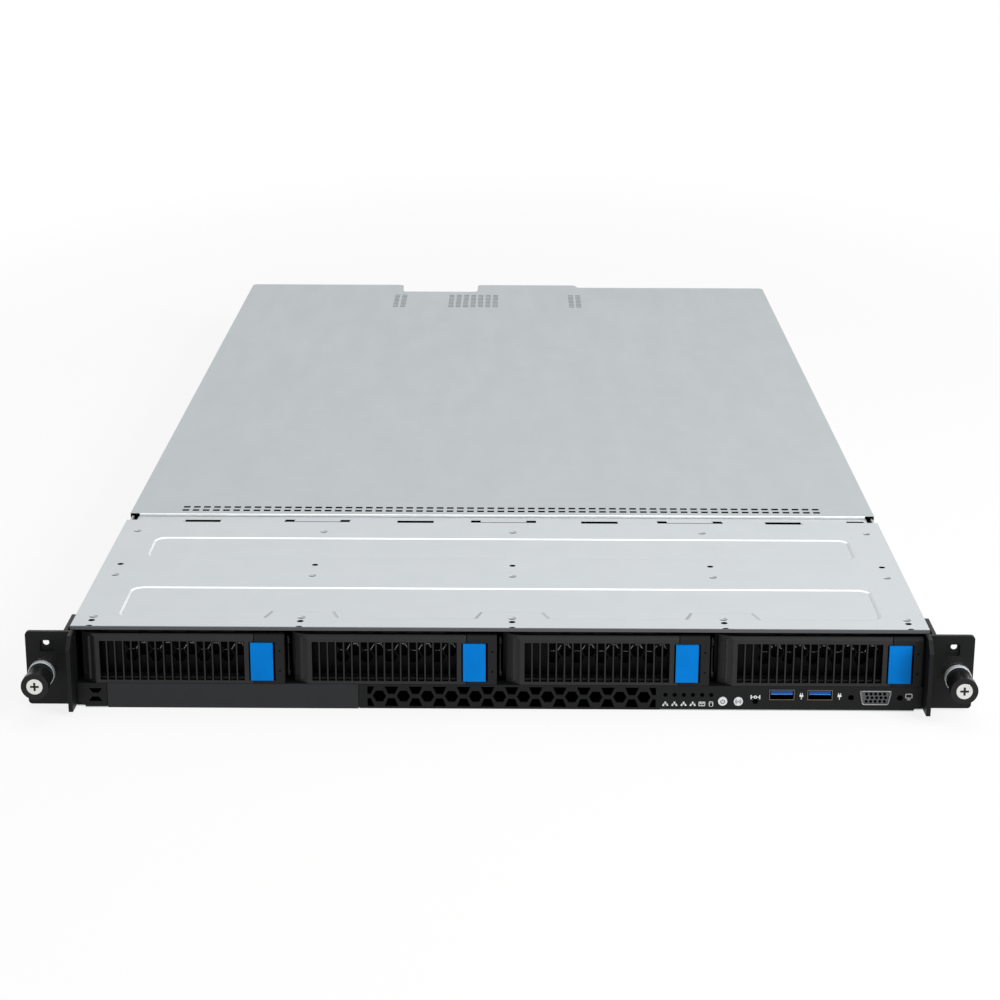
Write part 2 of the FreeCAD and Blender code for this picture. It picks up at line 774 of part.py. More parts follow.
def vga_outline(grow):
    """The D shape of the monitor socket, wide at the top, grown all round."""
    top, foot = f"(vga_top_wide/2+{grow})", f"(vga_foot_wide/2+{grow})"
    half = f"(vga_tall/2+{grow})"
    return [(f"{VGA_AT}-{foot}", f"vga_height-{half}"), (f"{VGA_AT}+{foot}", f"vga_height-{half}"),
            (f"{VGA_AT}+{top}", f"vga_height+{half}"), (f"{VGA_AT}-{top}", f"vga_height+{half}")]


def front_top_rail():
    """Black angle that closes the case above the trays."""
    piece = Piece("front_top_rail")
    low = f"{COVER_LOW}-top_rail_sheet"
    profile = [(FACE, low), ("top_rail_lap", low), ("top_rail_lap", COVER_LOW),
               (f"{FACE}+{LIP_THICK}", COVER_LOW), (f"{FACE}+{LIP_THICK}", "case_height"),
               (FACE, "case_height")]
    piece.pad("YZ", f"-{EDGE}+fit_gap", [profile], f"2*{EDGE}-2*fit_gap")
    return piece


def optical_bay_blank():
    """Plain cover of the slim bay, with two return lips that hold it in the opening."""
    piece = Piece("optical_bay_blank")
    left, right = f"-{BLANK_LEFT}+run_gap", f"-{BLANK_RIGHT}-run_gap"
    piece.pad("XZ", FACE, [rect(left, "0", right, "panel_height")], "panel_thick")
    start, end = f"{left}+blank_lip_inset", f"{right}-blank_lip_inset"
    inner = rect(start, "sheet_thick+run_gap", end, "panel_height-sheet_thick-run_gap")
    piece.pad("XZ", f"{FACE}+panel_thick", [inner], "blank_depth")
    wall = "blank_wall"
    hollow = rect(f"{start}+{wall}", f"sheet_thick+run_gap+{wall}", f"{end}-{wall}",
                  f"panel_height-sheet_thick-run_gap-{wall}")
    piece.pocket("XZ", f"{FACE}+panel_thick", [hollow], "blank_depth+1")
    return piece


def front_cover():
    """Fixed front half of the lid: sunk panels, flanges and a joggled rear strip."""
    piece = Piece("front_cover")
    half, front = HALF, f"{FACE}+{LIP_THICK}"
    piece.pad("XY", COVER_LOW, [rect(f"-{half}", front, half, "step_line")], "sheet_thick")
    side, line = f"({half}-emboss_inset)", "front_emboss_start"
    rear_panel = rect(f"-{side}", "rear_emboss_start", side, "rear_emboss_end")
    columns = [f"({tray_left(index)}+column_offset)" for index in (1, 2, 3)]
    front_panel = [(f"-{side}", line)]
    for centre in columns:
        wide = "notch_half+notch_slope"
        front_panel += [
            (f"{centre}-({wide})", line), (f"{centre}-notch_half", f"{line}+front_emboss_notch"),
            (f"{centre}+notch_half", f"{line}+front_emboss_notch"), (f"{centre}+{wide}", line)]
    front_panel += [(side, line), (side, "front_emboss_end"), (f"-{side}", "front_emboss_end")]
    panels = [rear_panel, front_panel]
    piece.pad("XY", f"{COVER_LOW}-emboss_deep", panels, "sheet_thick")
    piece.pocket("XY", "case_height-emboss_deep", panels, "sheet_thick")
    corner = value(side)
    piece.soften("Fillet", "emboss_corner", lambda edge: along(edge, "z")
                 and abs(abs(edge.CenterOfMass.x) - corner) < 0.01)
    for side in ("-", ""):
        inner = f"{side}({half}-sheet_thick)"
        flange = rect(f"{side}{half}", "ear_side_depth+run_gap", inner, "step_line")
        piece.pad("XY", "case_height-cover_flange", [flange], "cover_flange")
    strip = f"({half}-strip_inset)"
    low = f"{COVER_LOW}-strip_drop"
    piece.pad("XY", low, [rect(f"-{strip}", "step_line-sheet_thick", strip, "step_line")],
              "strip_drop+0.5*sheet_thick")
    piece.pad("XY", low, [rect(f"-{strip}", "step_line", strip, "joint_line+strip_lap")],
              "sheet_thick")
    slots = []
    for middle in (f"(-{half}+bend_slot_far_left)", "(-bend_slot_left)", "bend_slot_right",
                   f"({half}-bend_slot_far_right)"):
        slots.append(rect(f"{middle}-bend_slot_wide/2", "step_line-bend_slot_front",
                          f"{middle}+bend_slot_wide/2", "step_line+bend_slot_rear"))
    for centre in columns:
        lance = f"({centre}-column_offset-lance_offset)"
        slots.append(rect(f"{lance}-lance_wide/2", "step_line-lance_line-lance_gap",
                          f"{lance}+lance_wide/2", "step_line-lance_line"))
    piece.pocket("XY", f"{low}-1", slots, "6*sheet_thick")
    holes, dimples = [], []
    for across in [f"(-{half}+edge_column_inset)", *columns, f"({half}-edge_column_inset)"]:
        for line in ("cover_hole_line", "front_hole_line", front):
            holes.append(disc(across, line, "cover_hole_dia"))
        for line in ("dimple_front", "dimple_middle", "dimple_rear"):
            dimples.append(disc(across, line, "dimple_dia"))
    piece.pocket("XY", f"{COVER_LOW}-sheet_thick", holes, "3*sheet_thick")
    piece.pocket("XY", "case_height-dimple_deep", dimples, "sheet_thick")
    return piece


def drive_cage():
    """Shelf under the trays with a divider between each pair."""
    piece = Piece("drive_cage")
    shelf = rect(f"-{WALL_IN}", SHELF_START, WALL_IN, "backplane_start+2*board_thick")
    piece.pad("XY", "panel_height-sheet_thick", [shelf], "sheet_thick")
    middle = f"{tray_left(1)}-({TRAY_PITCH}-{TRAY_WIDE})/2-divider_shift"
    profile = [
        (f"{middle}-sheet_thick/2", "panel_height"), (f"{middle}+sheet_thick/2", "panel_height"),
        (f"{middle}+sheet_thick/2", "divider_top-sheet_thick"),
        (f"{middle}+divider_flange", "divider_top-sheet_thick"),
        (f"{middle}+divider_flange", "divider_top"), (f"{middle}-sheet_thick/2", "divider_top"),
    ]
    wall = piece.pad("XZ", "divider_start", [profile], "divider_deep")
    piece.repeat(wall, "X", "3", TRAY_PITCH)
    return piece


def ear(label, side):
    """Rack ear: flange on the post, plate along the case wall and a forward grip fin."""
    piece = Piece(label)
    sign = "-" if side < 0 else ""
    outer, inner = f"{sign}({RACK_HALF})", f"{sign}({EAR_IN})"
    piece.pad("XZ", FACE, [rect(inner, "ear_bottom", outer, EAR_TOP)], "ear_thick")
    rim = value(RACK_HALF)
    piece.soften("Fillet", "ear_corner",
                 lambda edge: along(edge, "y") and abs(abs(edge.CenterOfMass.x) - rim) < 0.01)
    plate_in = f"({HALF}+ear_side_gap)"
    plate = rect(f"{sign}{plate_in}", "0", f"{sign}({plate_in}+ear_side_thick)", "ear_side_depth")
    piece.pad("XY", "ear_bottom", [plate], "ear_height")
    depth, top = value("ear_side_depth"), value(EAR_TOP)
    piece.soften("Fillet", "ear_corner", lambda edge: along(edge, "x")
                 and abs(edge.CenterOfMass.y - depth) < 0.01
                 and abs(edge.CenterOfMass.z - top) < 0.01)
    foot = rect(f"{sign}{WALL_OUT}", "0", f"{sign}({plate_in})", "ear_side_depth")
    piece.pad("XY", "ear_bottom", [foot], "case_height-cover_flange-fit_gap-ear_bottom")
    fin = [(FACE, "ear_bottom"), (f"{FACE}-fin_reach", "ear_bottom+fin_foot_rise"),
           (f"{FACE}-fin_reach", f"{EAR_TOP}-fin_slope_drop"),
           (f"{FACE}-fin_reach+fin_slope_run", EAR_TOP), (FACE, EAR_TOP)]
    start = f"-({EAR_IN}+fin_thick)" if side < 0 else EAR_IN
    piece.pad("YZ", start, [fin], "fin_thick")
    window_out = f"({RACK_HALF}-ear_window_inset)"
    window = rect(f"{sign}{window_out}", "ear_window_base",
                  f"{sign}({window_out}-ear_window_wide)", "ear_window_base+ear_window_tall")
    piece.pocket("XZ", FACE, [window], "ear_thick-ear_window_web")
    peg = disc(f"{sign}({RACK_HALF}-peg_hole_inset)", "ear_window_base+peg_hole_rise",
               "peg_hole_dia")
    screw = disc(f"{sign}({SCREW_AT})", "screw_height", "screw_dia+2*bore_gap")
    piece.pocket("XZ", f"{FACE}-1", [peg, screw], "ear_thick+2")
    return piece


def screw_collars():
    """Steel ferrules that hold the captive screws in the ears."""
    piece = Piece("thumbscrew_collars")
    loops = []
    for sign in ("-", ""):
        across = f"{sign}({SCREW_AT})"
        loops.append(disc(across, "screw_height", "collar_dia"))
        loops.append(disc(across, "screw_height", "screw_dia+2*bore_gap"))
    piece.pad("XZ", f"{FACE}-collar_long", loops, "collar_long")
    return piece


def screw_base(side):
    across = f"-{SCREW_AT}" if side < 0 else SCREW_AT
    return across, f"{FACE}-collar_long-fit_gap", "screw_height"


def knob(label, side):
    """Round grip of the captive screw, with a wider front rim and a seat for its head."""
    piece = Piece(label, screw_base(side))
    bore = disc("0", "0", "screw_neck_dia")
    piece.pad("XZ", "-knob_long", [disc("0", "0", "knob_dia"), bore], "knob_long")
    piece.pad("XZ", "-knob_long-knob_head_long", [disc("0", "0", "knob_head_dia"), bore],
              "knob_head_long")
    piece.pocket("XZ", "-knob_long-knob_head_long", [disc("0", "0", "screw_head_dia")],
                 "screw_head_long")
    return piece


def captive_screw(label, side):
    """Screw with a cross recess and a slim neck that leaves only the tail for the rack's nut."""
    piece = Piece(label, screw_base(side))
    front = "(-knob_long-knob_head_long)"
    piece.pad("XZ", front, [disc("0", "0", "screw_head_dia")], "screw_head_long")
    post = "(fit_gap+collar_long+ear_thick)"
    piece.pad("XZ", f"{front}+screw_head_long", [disc("0", "0", "screw_neck_dia")],
              f"knob_long+knob_head_long-screw_head_long+{post}+run_gap")
    piece.pad("XZ", f"{post}+run_gap", [disc("0", "0", "screw_dia")], "screw_tail-run_gap")
    cross = [rect("-cross_long/2", "-cross_wide/2", "cross_long/2", "cross_wide/2")]
    piece.pocket("XZ", f"{front}-0.01", cross, "cross_deep")
    upright = [rect("-cross_wide/2", "-cross_long/2", "cross_wide/2", "cross_long/2")]
    piece.pocket("XZ", f"{front}-0.01", upright, "cross_deep+0.01")
    return piece


def io_board():
    """Board behind the controls, on two spacers over the floor."""
    piece = Piece("front_io_board")
    start = f"{FACE}+panel_thick+fit_gap"
    left, right = f"({LED_AT}-io_board_lead)", f"({EDGE}-io_board_inset)"
    piece.pad("XY", "io_board_top-io_board_thick", [rect(left, start, right, "io_board_deep")],
              "io_board_thick")
    line = "io_board_deep-spacer_inset"
    piece.pad("XY", "sheet_thick", [disc(f"{left}+spacer_inset", line, "spacer_dia"),
                                    disc(f"{right}-spacer_inset", line, "spacer_dia")],
              "io_board_top-io_board_thick-sheet_thick")
    switches = []
    for centre in (POWER_AT, LOCATOR_AT, RESET_AT):
        back = f"{FACE}-button_proud+button_long+button_travel+run_gap"
        switches.append(rect(f"{centre}-switch_wide/2", back,
                             f"{centre}+switch_wide/2", f"{back}+switch_deep"))
    piece.pad("XY", "io_board_top", switches, "button_height+switch_rise-io_board_top")
    return piece


def usb_ports():
    """Two sockets: a folded metal shell with a tongue, each on a shelf of the board."""
    piece = Piece("usb_ports")
    front = f"{FACE}-fit_gap"
    shells, tongues, feet = [], [], []
    for number in range(2):
        centre = f"{USB_AT}+{number}*usb_pitch"
        half, tall = "usb_wide/2", "usb_tall/2"
        shells.append(rect(f"{centre}-{half}", f"usb_height-{tall}",
                           f"{centre}+{half}", f"usb_height+{tall}"))
        shells.append(rect(f"{centre}-{half}+usb_wall", f"usb_height-{tall}+usb_wall",
                           f"{centre}+{half}-usb_wall", f"usb_height+{tall}-usb_wall"))
        tongues.append(rect(f"{centre}-tongue_wide/2", "usb_height+tongue_lift",
                            f"{centre}+tongue_wide/2", "usb_height+tongue_lift+tongue_tall"))
        feet.append(rect(f"{centre}-{half}", "usb_foot_start", f"{centre}+{half}",
                         "usb_long-usb_back"))
    backs = shells[0::2]
    piece.pad("XZ", front, shells, "usb_long-usb_back")
    piece.pad("XZ", f"{front}+usb_long-usb_back", backs, "usb_back")
    piece.pad("XZ", f"{front}+tongue_set", tongues, "usb_long-usb_back-run_gap")
    piece.pad("XY", "io_board_top", feet, "usb_height-usb_tall/2-io_board_top")
    return piece


def vga_port():
    """Monitor socket: D nose, flange with two jack posts and a body on the board."""
    piece = Piece("vga_port")
    back = f"{FACE}+panel_thick"
    piece.pad("XZ", FACE, [vga_outline("0")], "panel_thick")
    flange = rect(f"{VGA_AT}-vga_flange_wide/2", f"{IO_TOP}", f"{VGA_AT}+vga_flange_wide/2",
                  "vga_height+vga_tall/2+vga_flange_lift")
    piece.pad("XZ", back, [flange], "vga_body_long")
    piece.pocket("XZ", FACE, [vga_outline("-vga_rim")], "vga_rim_deep")
    start = f"{VGA_AT}-2*vga_pin_pitch-vga_pin_hole/2"
    hole = rect(start, "vga_height-vga_row_pitch-vga_pin_hole/2", f"{start}+vga_pin_hole",
                "vga_height-vga_row_pitch+vga_pin_hole/2")
    pins = piece.pocket("XZ", FACE, [hole], "panel_thick+vga_pin_deep")
    piece.repeat(pins, "X", "5", "vga_pin_pitch", ("Z", "3", "vga_row_pitch"))
    return piece


def light_pipes():
    """Clear square pipes that lead the board lamps to the panel holes."""
    piece = Piece("light_pipes")
    front, half = f"{FACE}+run_gap", "(led_dia/2-pipe_gap)"
    pipe = piece.pad("XZ", front, [rect(f"{LED_AT}-{half}", f"led_height-{half}",
                                        f"{LED_AT}+{half}", f"led_height+{half}")], "pipe_long")
    piece.repeat(pipe, "X", "led_count", "led_pitch")
    leg = piece.pad("XY", "io_board_top", [rect(f"{LED_AT}-{half}", f"{front}+pipe_long-2*{half}",
                                                f"{LED_AT}+{half}", f"{front}+pipe_long")],
                    f"led_height-io_board_top-{half}")
    piece.repeat(leg, "X", "led_count", "led_pitch")
    return piece


def backplane():
    """Upright board behind the drives with air windows and a socket for each drive."""
    piece = Piece("backplane")
    half = f"({WALL_IN}-backplane_margin)"
    board = rect(f"-{half}", "panel_height", half, "divider_top-backplane_drop")
    piece.pad("XZ", "backplane_start", [board], "board_thick")
    left = f"({tray_left(0)}+air_window_inset)"
    windows = [rect(f"{left}+{step}*air_window_step", "air_window_low",
                    f"{left}+{step}*air_window_step+air_window_wide", "air_window_high")
               for step in ("0", "1")]
    window = piece.pocket("XZ", "backplane_start-1", windows, "board_thick+2")
    piece.repeat(window, "X", "4", TRAY_PITCH)
    drive_rear = f"{FACE}+drive_setback+drive_long"
    socket = piece.pad("XZ", f"{drive_rear}+run_gap",
                       [rect(f"{left}+drive_socket_at", "drive_socket_low",
                             f"{left}+drive_socket_at+drive_socket_wide", "drive_socket_high")],
                       f"backplane_start-({drive_rear}+run_gap)")
    piece.repeat(socket, "X", "4", TRAY_PITCH)
    return piece


def tray_base(index):
    return tray_left(index), FACE, "0"


def tray(index):
    """Drive tray: floor, rails, vent plate, the fixed bezel end and the lever's hinge lugs."""
    piece = Piece(f"tray_{index + 1}", tray_base(index))
    left, right = "-rail_left_out", f"{TRAY_WIDE}+rail_thick-rail_left_out"
    floor = TRAY_FLOOR
    piece.pad("XY", floor, [rect(left, "grid_setback", right, "tray_long")], "tray_sheet")
    rails = [rect(left, "grid_setback", f"{left}+rail_thick", "tray_long"),
             rect(f"{right}-rail_thick", "grid_setback", right, "tray_long")]
    piece.pad("XY", floor, rails, "rail_height")
    piece.pad("XZ", "grid_setback", [rect(left, floor, right, "tray_top")], "grid_thick")
    keeper = rect(f"{SPLIT}+fit_gap", floor, TRAY_WIDE, "tray_top")
    piece.pad("XZ", "0", [keeper], "grid_setback")
    piece.pocket("YZ", "0", [front_bevel()], f"{TRAY_WIDE}+1")
    seat_left = f"{SPLIT}-1"
    seat_right = f"{TRAY_WIDE}-latch_inset+latch_gap_right"
    seat = rect(seat_left, "latch_base-fit_gap", seat_right, "latch_base+latch_tall+fit_gap")
    piece.pocket("XZ", "-1", [seat], "latch_long-latch_proud+latch_travel+run_gap+1")
    vents = []
    for step in ("0", "1"):
        across = f"tray_hex_first+{step}*hex_pitch/2"
        for row in ("0", "1"):
            up = f"tray_hex_base+({step}/2+{row})*tray_hex_rise"
            vents.append(hexagon(across, up, "hex_side"))
    vent = piece.pocket("XZ", "grid_setback-1", vents, "3")
    piece.repeat(vent, "X", f"floor(({TRAY_WIDE}-keeper_width-tray_hex_first)/hex_pitch)",
                 "hex_pitch")
    lug = rect("pivot_in-lug_left", "pivot_back-lug_front", "pivot_in+lug_right",
               "grid_setback")
    piece.pad("XY", floor, [lug], "lug_thick")
    piece.pad("XY", "tray_top-lug_thick", [lug], "lug_thick")
    piece.pad("XY", f"{floor}+lug_thick", [disc("pivot_in", "pivot_back", "pivot_dia")],
              f"tray_top-{floor}-2*lug_thick")
    lamps = [hexagon(f"{TRAY_WIDE}-lamp_inset", up, "lamp_side")
             for up in ("upper_lamp", "lower_lamp")]
    piece.pocket("XZ", "-1", lamps, "3")
    return piece


def front_bevel():
    """Profile cut off the upper front edge of a tray's keeper and of its lever."""
    return [("-1", "tray_top-tray_bevel_drop"), ("0", "tray_top-tray_bevel_drop"),
            ("tray_bevel_run", "tray_top"), ("tray_bevel_run", "tray_top+1"),
            ("-1", "tray_top+1")]


def lever(index):
    """Grille door of the tray: slotted face, side wedge and hinge barrel."""
    piece = Piece(f"lever_{index + 1}", tray_base(index))
    end = f"({SPLIT}-fit_gap)"
    face = [("fit_gap", "wedge_drop"), ("wedge_run", "0"), (end, "0"), (end, "face_thick"),
            ("wedge_run+wedge_mitre", "face_thick"), ("fit_gap", "wedge_drop+face_thick")]
    piece.pad("XY", TRAY_FLOOR, [face], f"tray_top-{TRAY_FLOOR}")
    low = f"({TRAY_FLOOR}+lug_thick+run_gap)"
    high = "(tray_top-lug_thick-run_gap)"
    piece.pad("XY", low, [disc("pivot_in", "pivot_back", "barrel_dia")], f"{high}-{low}")
    web = rect("pivot_in", "face_thick-web_lap", "wedge_run+web_right", "pivot_back+web_rear")
    piece.pad("XY", low, [web], f"{high}-{low}")
    rim_left, rim_right = "wedge_run+rim_start", f"{SPLIT}-rim_inset"
    rims = [rect(rim_left, low, rim_right, f"{low}+rim_thick"),
            rect(rim_left, f"{high}-rim_thick", rim_right, high)]
    piece.pad("XZ", "face_thick-rim_lap", rims, "bezel_depth-face_thick")
    end_wall = rect(f"{rim_right}-rim_thick", "face_thick-rim_lap", rim_right,
                    "bezel_depth-rim_lap")
    piece.pad("XY", low, [end_wall], f"{high}-{low}")
    bore = disc("pivot_in", "pivot_back", "pivot_dia+bore_gap")
    piece.pocket("XY", f"{TRAY_FLOOR}-1", [bore], "case_height")
    piece.pocket("YZ", "0", [front_bevel()], TRAY_WIDE)
    notch = rect(f"{SPLIT}-rim_inset+0.5*fit_gap", "latch_base-2*fit_gap", TRAY_WIDE,
                 "latch_base+latch_tall+2*fit_gap")
    piece.pocket("XZ", "-1", [notch], "bezel_depth+2")
    slot = piece.pocket("XZ", "-1", [rect("slot_first", "slot_base", "slot_first+slot_wide",
                                          "slot_base+slot_tall")], "face_thick+1+rim_lap")
    piece.repeat(slot, "X", "slot_count", "slot_pitch")
    return piece


def latch(index):
    """Blue push button that frees the lever, with a stepped stem."""
    piece = Piece(f"latch_{index + 1}", tray_base(index))
    left = f"{TRAY_WIDE}-latch_inset-latch_wide"
    right = f"{TRAY_WIDE}-latch_inset"
    piece.pad("XZ", "-latch_proud", [rect(left, "latch_base", right, "latch_base+latch_tall")],
              "latch_cap")
    stem = rect(f"{SPLIT}+1", "latch_base+latch_step", right, "latch_base+latch_tall-latch_step")
    piece.pad("XZ", "-latch_proud+latch_cap", [stem], "latch_long-latch_cap")
    return piece


def drive(index):
    """Hard drive: cast body, stepped lid and the board recess underneath."""
    piece = Piece(f"drive_{index + 1}", tray_base(index))
    left = f"(-rail_left_out+rail_thick+({TRAY_WIDE}-rail_thick-drive_width)/2)"
    right = f"({left}+drive_width)"
    low = f"({TRAY_FLOOR}+tray_sheet)"
    front, rear = "drive_setback", "(drive_setback+drive_long)"
    piece.pad("XY", low, [rect(left, front, right, rear)], "drive_tall")
    steps = [rect(f"{left}-1", f"{front}-1", f"{left}+lid_step_wide", f"{rear}+1"),
             rect(f"{right}-lid_step_wide", f"{front}-1", f"{right}+1", f"{rear}+1")]
    piece.pocket("XY", f"{low}+drive_tall-lid_step_deep", steps, "lid_step_deep+1")
    under = rect(f"{left}+2*lid_step_wide", f"{front}+recess_start",
                 f"{right}-2*lid_step_wide", f"{rear}-recess_end")
    piece.pocket("XY", f"{low}-1", [under], "recess_deep+1")
    return piece


def fan_centre(index):
    return f"(({index}-2.5)*{FAN_PITCH})"


FAN_MID = "(sheet_thick+0.1+fan_size/2)"


def fan_frames():
    """Square fan housings hung from a bridge, each with a round duct and a motor mount."""
    piece = Piece("fan_frames")
    boxes, mounts, pegs, struts = [], [], [], []
    for index in range(6):
        centre = fan_centre(index)
        half = "fan_size/2"
        boxes.append(rect(f"{centre}-{half}", f"{FAN_MID}-{half}",
                          f"{centre}+{half}", f"{FAN_MID}+{half}"))
        boxes.append(disc(centre, FAN_MID, "fan_bore_dia"))
        mounts.append(disc(centre, FAN_MID, "fan_hub_dia"))
        pegs.append(disc(centre, FAN_MID, "fan_shaft_dia"))
        struts.append(rect(f"{centre}-fan_bore_dia/2-0.4", f"{FAN_MID}-strut_wide/2",
                           f"{centre}+fan_bore_dia/2+0.4", f"{FAN_MID}+strut_wide/2"))
    rear = "fan_start+fan_long-strut_thick"
    piece.pad("XZ", "fan_start", boxes, "fan_long")
    bridge = rect(f"-{WALL_IN}+run_gap", f"{FAN_MID}+fan_bore_dia/2+bridge_lift",
                  f"{WALL_IN}-run_gap", f"{FAN_MID}+fan_size/2")
    piece.pad("XZ", "fan_start", [bridge], "fan_long")
    piece.pad("XZ", rear, mounts, "strut_thick")
    piece.pad("XZ", rear, struts, "strut_thick-0.1")
    piece.pad("XZ", "fan_start+fan_shaft_start", pegs, f"{rear}-fan_start-fan_shaft_start")
    return piece


def fan_rotor(index):
    """Hub and inclined blades, running on the mount's shaft."""
    base = (fan_centre(index), "fan_start+rotor_setback", FAN_MID)
    piece = Piece(f"fan_rotor_{index + 1}", base)
    depth = "(fan_long-strut_thick-rotor_setback-run_gap)"
    piece.pad("XZ", "0", [disc("0", "0", "fan_hub_dia")], depth)
    root, tip = "(fan_hub_dia/2-blade_root)", "(fan_bore_dia/2-blade_gap)"
    front, back = f"({depth}/2-blade_chord/2)", f"({depth}/2+blade_chord/2)"
    lean, half = "blade_lean/2", "blade_thick/2"
    profile = [(front, f"-{lean}-{half}"), (back, f"{lean}-{half}"),
               (back, f"{lean}+{half}"), (front, f"-{lean}+{half}")]
    corner = f"({lean}+{half})"
    blade = piece.pad("YZ", root, [profile], f"sqrt({tip}*{tip}-{corner}*{corner})-{root}")
    piece.spin(blade, "Y", "blade_count")
    piece.pocket("XZ", "fan_shaft_start-rotor_setback-run_gap",
                 [disc("0", "0", "fan_shaft_dia+bore_gap")], depth)
    return piece


def motherboard():
    """L-shaped main board with processor sockets, memory connectors and a chipset block."""
    piece = Piece("motherboard")
    outline = [(f"-{BOARD_HALF}", "mainboard_start"), (BOARD_HALF, "mainboard_start"),
               (BOARD_HALF, "mainboard_waist"), (BOARD_NECK, "mainboard_waist"),
               (BOARD_NECK, "mainboard_end"), (f"-{BOARD_HALF}", "mainboard_end")]
    piece.pad("XY", "mainboard_base", [outline], "board_thick")
    half = "cpu_socket_wide/2"
    sockets = [rect(f"{sign}{CPU_AT}-{half}", f"cpu_line-{half}",
                    f"{sign}{CPU_AT}+{half}", f"cpu_line+{half}") for sign in ("-", "")]
    piece.pad("XY", BOARD_TOP, sockets, "socket_tall")
    connector = piece.pad("XY", BOARD_TOP, memory_loops("slot_connector_wide", "memory_long+8"),
                          "slot_connector_tall")
    piece.repeat(connector, "X", "memory_count", "memory_pitch")
    chip = rect("-chip_left", "chip_line", "-chip_left+chip_wide", "chip_line+chip_wide")
    piece.pad("XY", BOARD_TOP, [chip], "chip_tall")
    return piece


def memory_loops(wide, long):
    """First memory place of each group of four, one group on each side of each processor."""
    loops = []
    for sign in ("-", ""):
        cpu = f"{sign}{CPU_AT}"
        for start in (f"{cpu}+memory_offset", f"{cpu}-memory_offset-3*memory_pitch"):
            loops.append(rect(f"{start}-({wide})/2", f"cpu_line-({long})/2",
                              f"{start}+({wide})/2", f"cpu_line+({long})/2"))
    return loops


def memory_modules():
    """Memory cards standing in their connectors."""
    piece = Piece("memory_modules")
    cards = piece.pad("XY", f"{BOARD_TOP}+slot_connector_tall",
                      memory_loops("memory_thick", "memory_long"),
                      "memory_tall-slot_connector_tall+2")
    piece.repeat(cards, "X", "memory_count", "memory_pitch")
    return piece


def heatsinks():
    """Two finned coolers on the processor sockets."""
    piece = Piece("heatsinks")
    base = f"{BOARD_TOP}+socket_tall"
    plates, fins = [], []
    for sign in ("-", ""):
        left = f"{sign}{CPU_AT}-sink_wide/2"
        plates.append(rect(left, "cpu_line-sink_long/2", f"{left}+sink_wide",
                           "cpu_line+sink_long/2"))
        fins.append(rect(left, "cpu_line-sink_long/2", f"{left}+fin_sheet*2",
                         "cpu_line+sink_long/2"))
    piece.pad("XY", base, plates, "sink_base")
    fin = piece.pad("XY", f"{base}+sink_base", fins, "sink_tall-sink_base")
    piece.repeat(fin, "X", "fin_count", "fin_step")
    return piece


def air_shroud():
    """Plastic duct that leads the fan air over the coolers and the memory."""
    piece = Piece("air_shroud")
    top, skin = "shroud_top", "shroud_wall"
    half, foot = SHROUD_HALF, BOARD_TOP
    profile = [(f"-{half}", foot), (f"-{half}+{skin}", foot), (f"-{half}+{skin}", f"{top}-{skin}"),
               (f"{half}-{skin}", f"{top}-{skin}"), (f"{half}-{skin}", foot), (half, foot),
               (half, top), (f"-{half}", top)]
    piece.pad("XZ", "shroud_start", [profile], "shroud_long")
    step = rect(f"-{half}-1", "0", f"{half}+1", f"{BOARD_TOP}+shroud_step")
    piece.pocket("XZ", "shroud_start-1", [step], "mainboard_start-shroud_start-shroud_lead")
    return piece


def riser_cards():
    """Upright cards with the expansion connectors, one behind each rear window."""
    piece = Piece("riser_cards")
    rear = "(mainboard_end-riser_inset)"
    front = f"({rear}-riser_long)"
    places = ["-lobe_left-riser_offset", f"{LOBE_RIGHT}-1.5*riser_offset"]
    cards = [rect(place, front, f"{place}+board_thick", rear) for place in places]
    piece.pad("XY", BOARD_TOP, cards, "riser_tall")
    connectors = [rect(f"{place}-card_slot_deep", f"{front}+riser_inset", place,
                       f"{rear}-riser_inset") for place in places]
    piece.pad("XY", f"{BOARD_TOP}+card_slot_rise", connectors, "card_slot_wide")
    return piece


def slot_covers():
    """Ribbed blanks behind the expansion windows."""
    piece = Piece("slot_covers")
    inside = "case_depth-fit_gap-2*sheet_thick"
    lap, rib = "blank_lap", "3*blank_lap"
    base, top = "slot_window_base", "(slot_window_base+slot_window_tall)"
    plates, ribs = [], []
    for start, wide in ((f"-{WALL_IN}", FULL_WINDOW), ("-lobe_mid", LOW_WINDOW)):
        left, right = f"({start}+window_start)", f"({start}+window_start+{wide})"
        plates.append(rect(f"{left}-{lap}", f"{base}-{lap}", f"{right}+{lap}", f"{top}+{lap}"))
        ribs.append(rect(f"{left}+{rib}", f"{base}+{rib}", f"{right}-{rib}", f"{top}-{rib}"))
    piece.pad("XZ", inside, plates, "sheet_thick")
    piece.pad("XZ", f"{inside}+sheet_thick", ribs, "0.6*sheet_thick")
    return piece


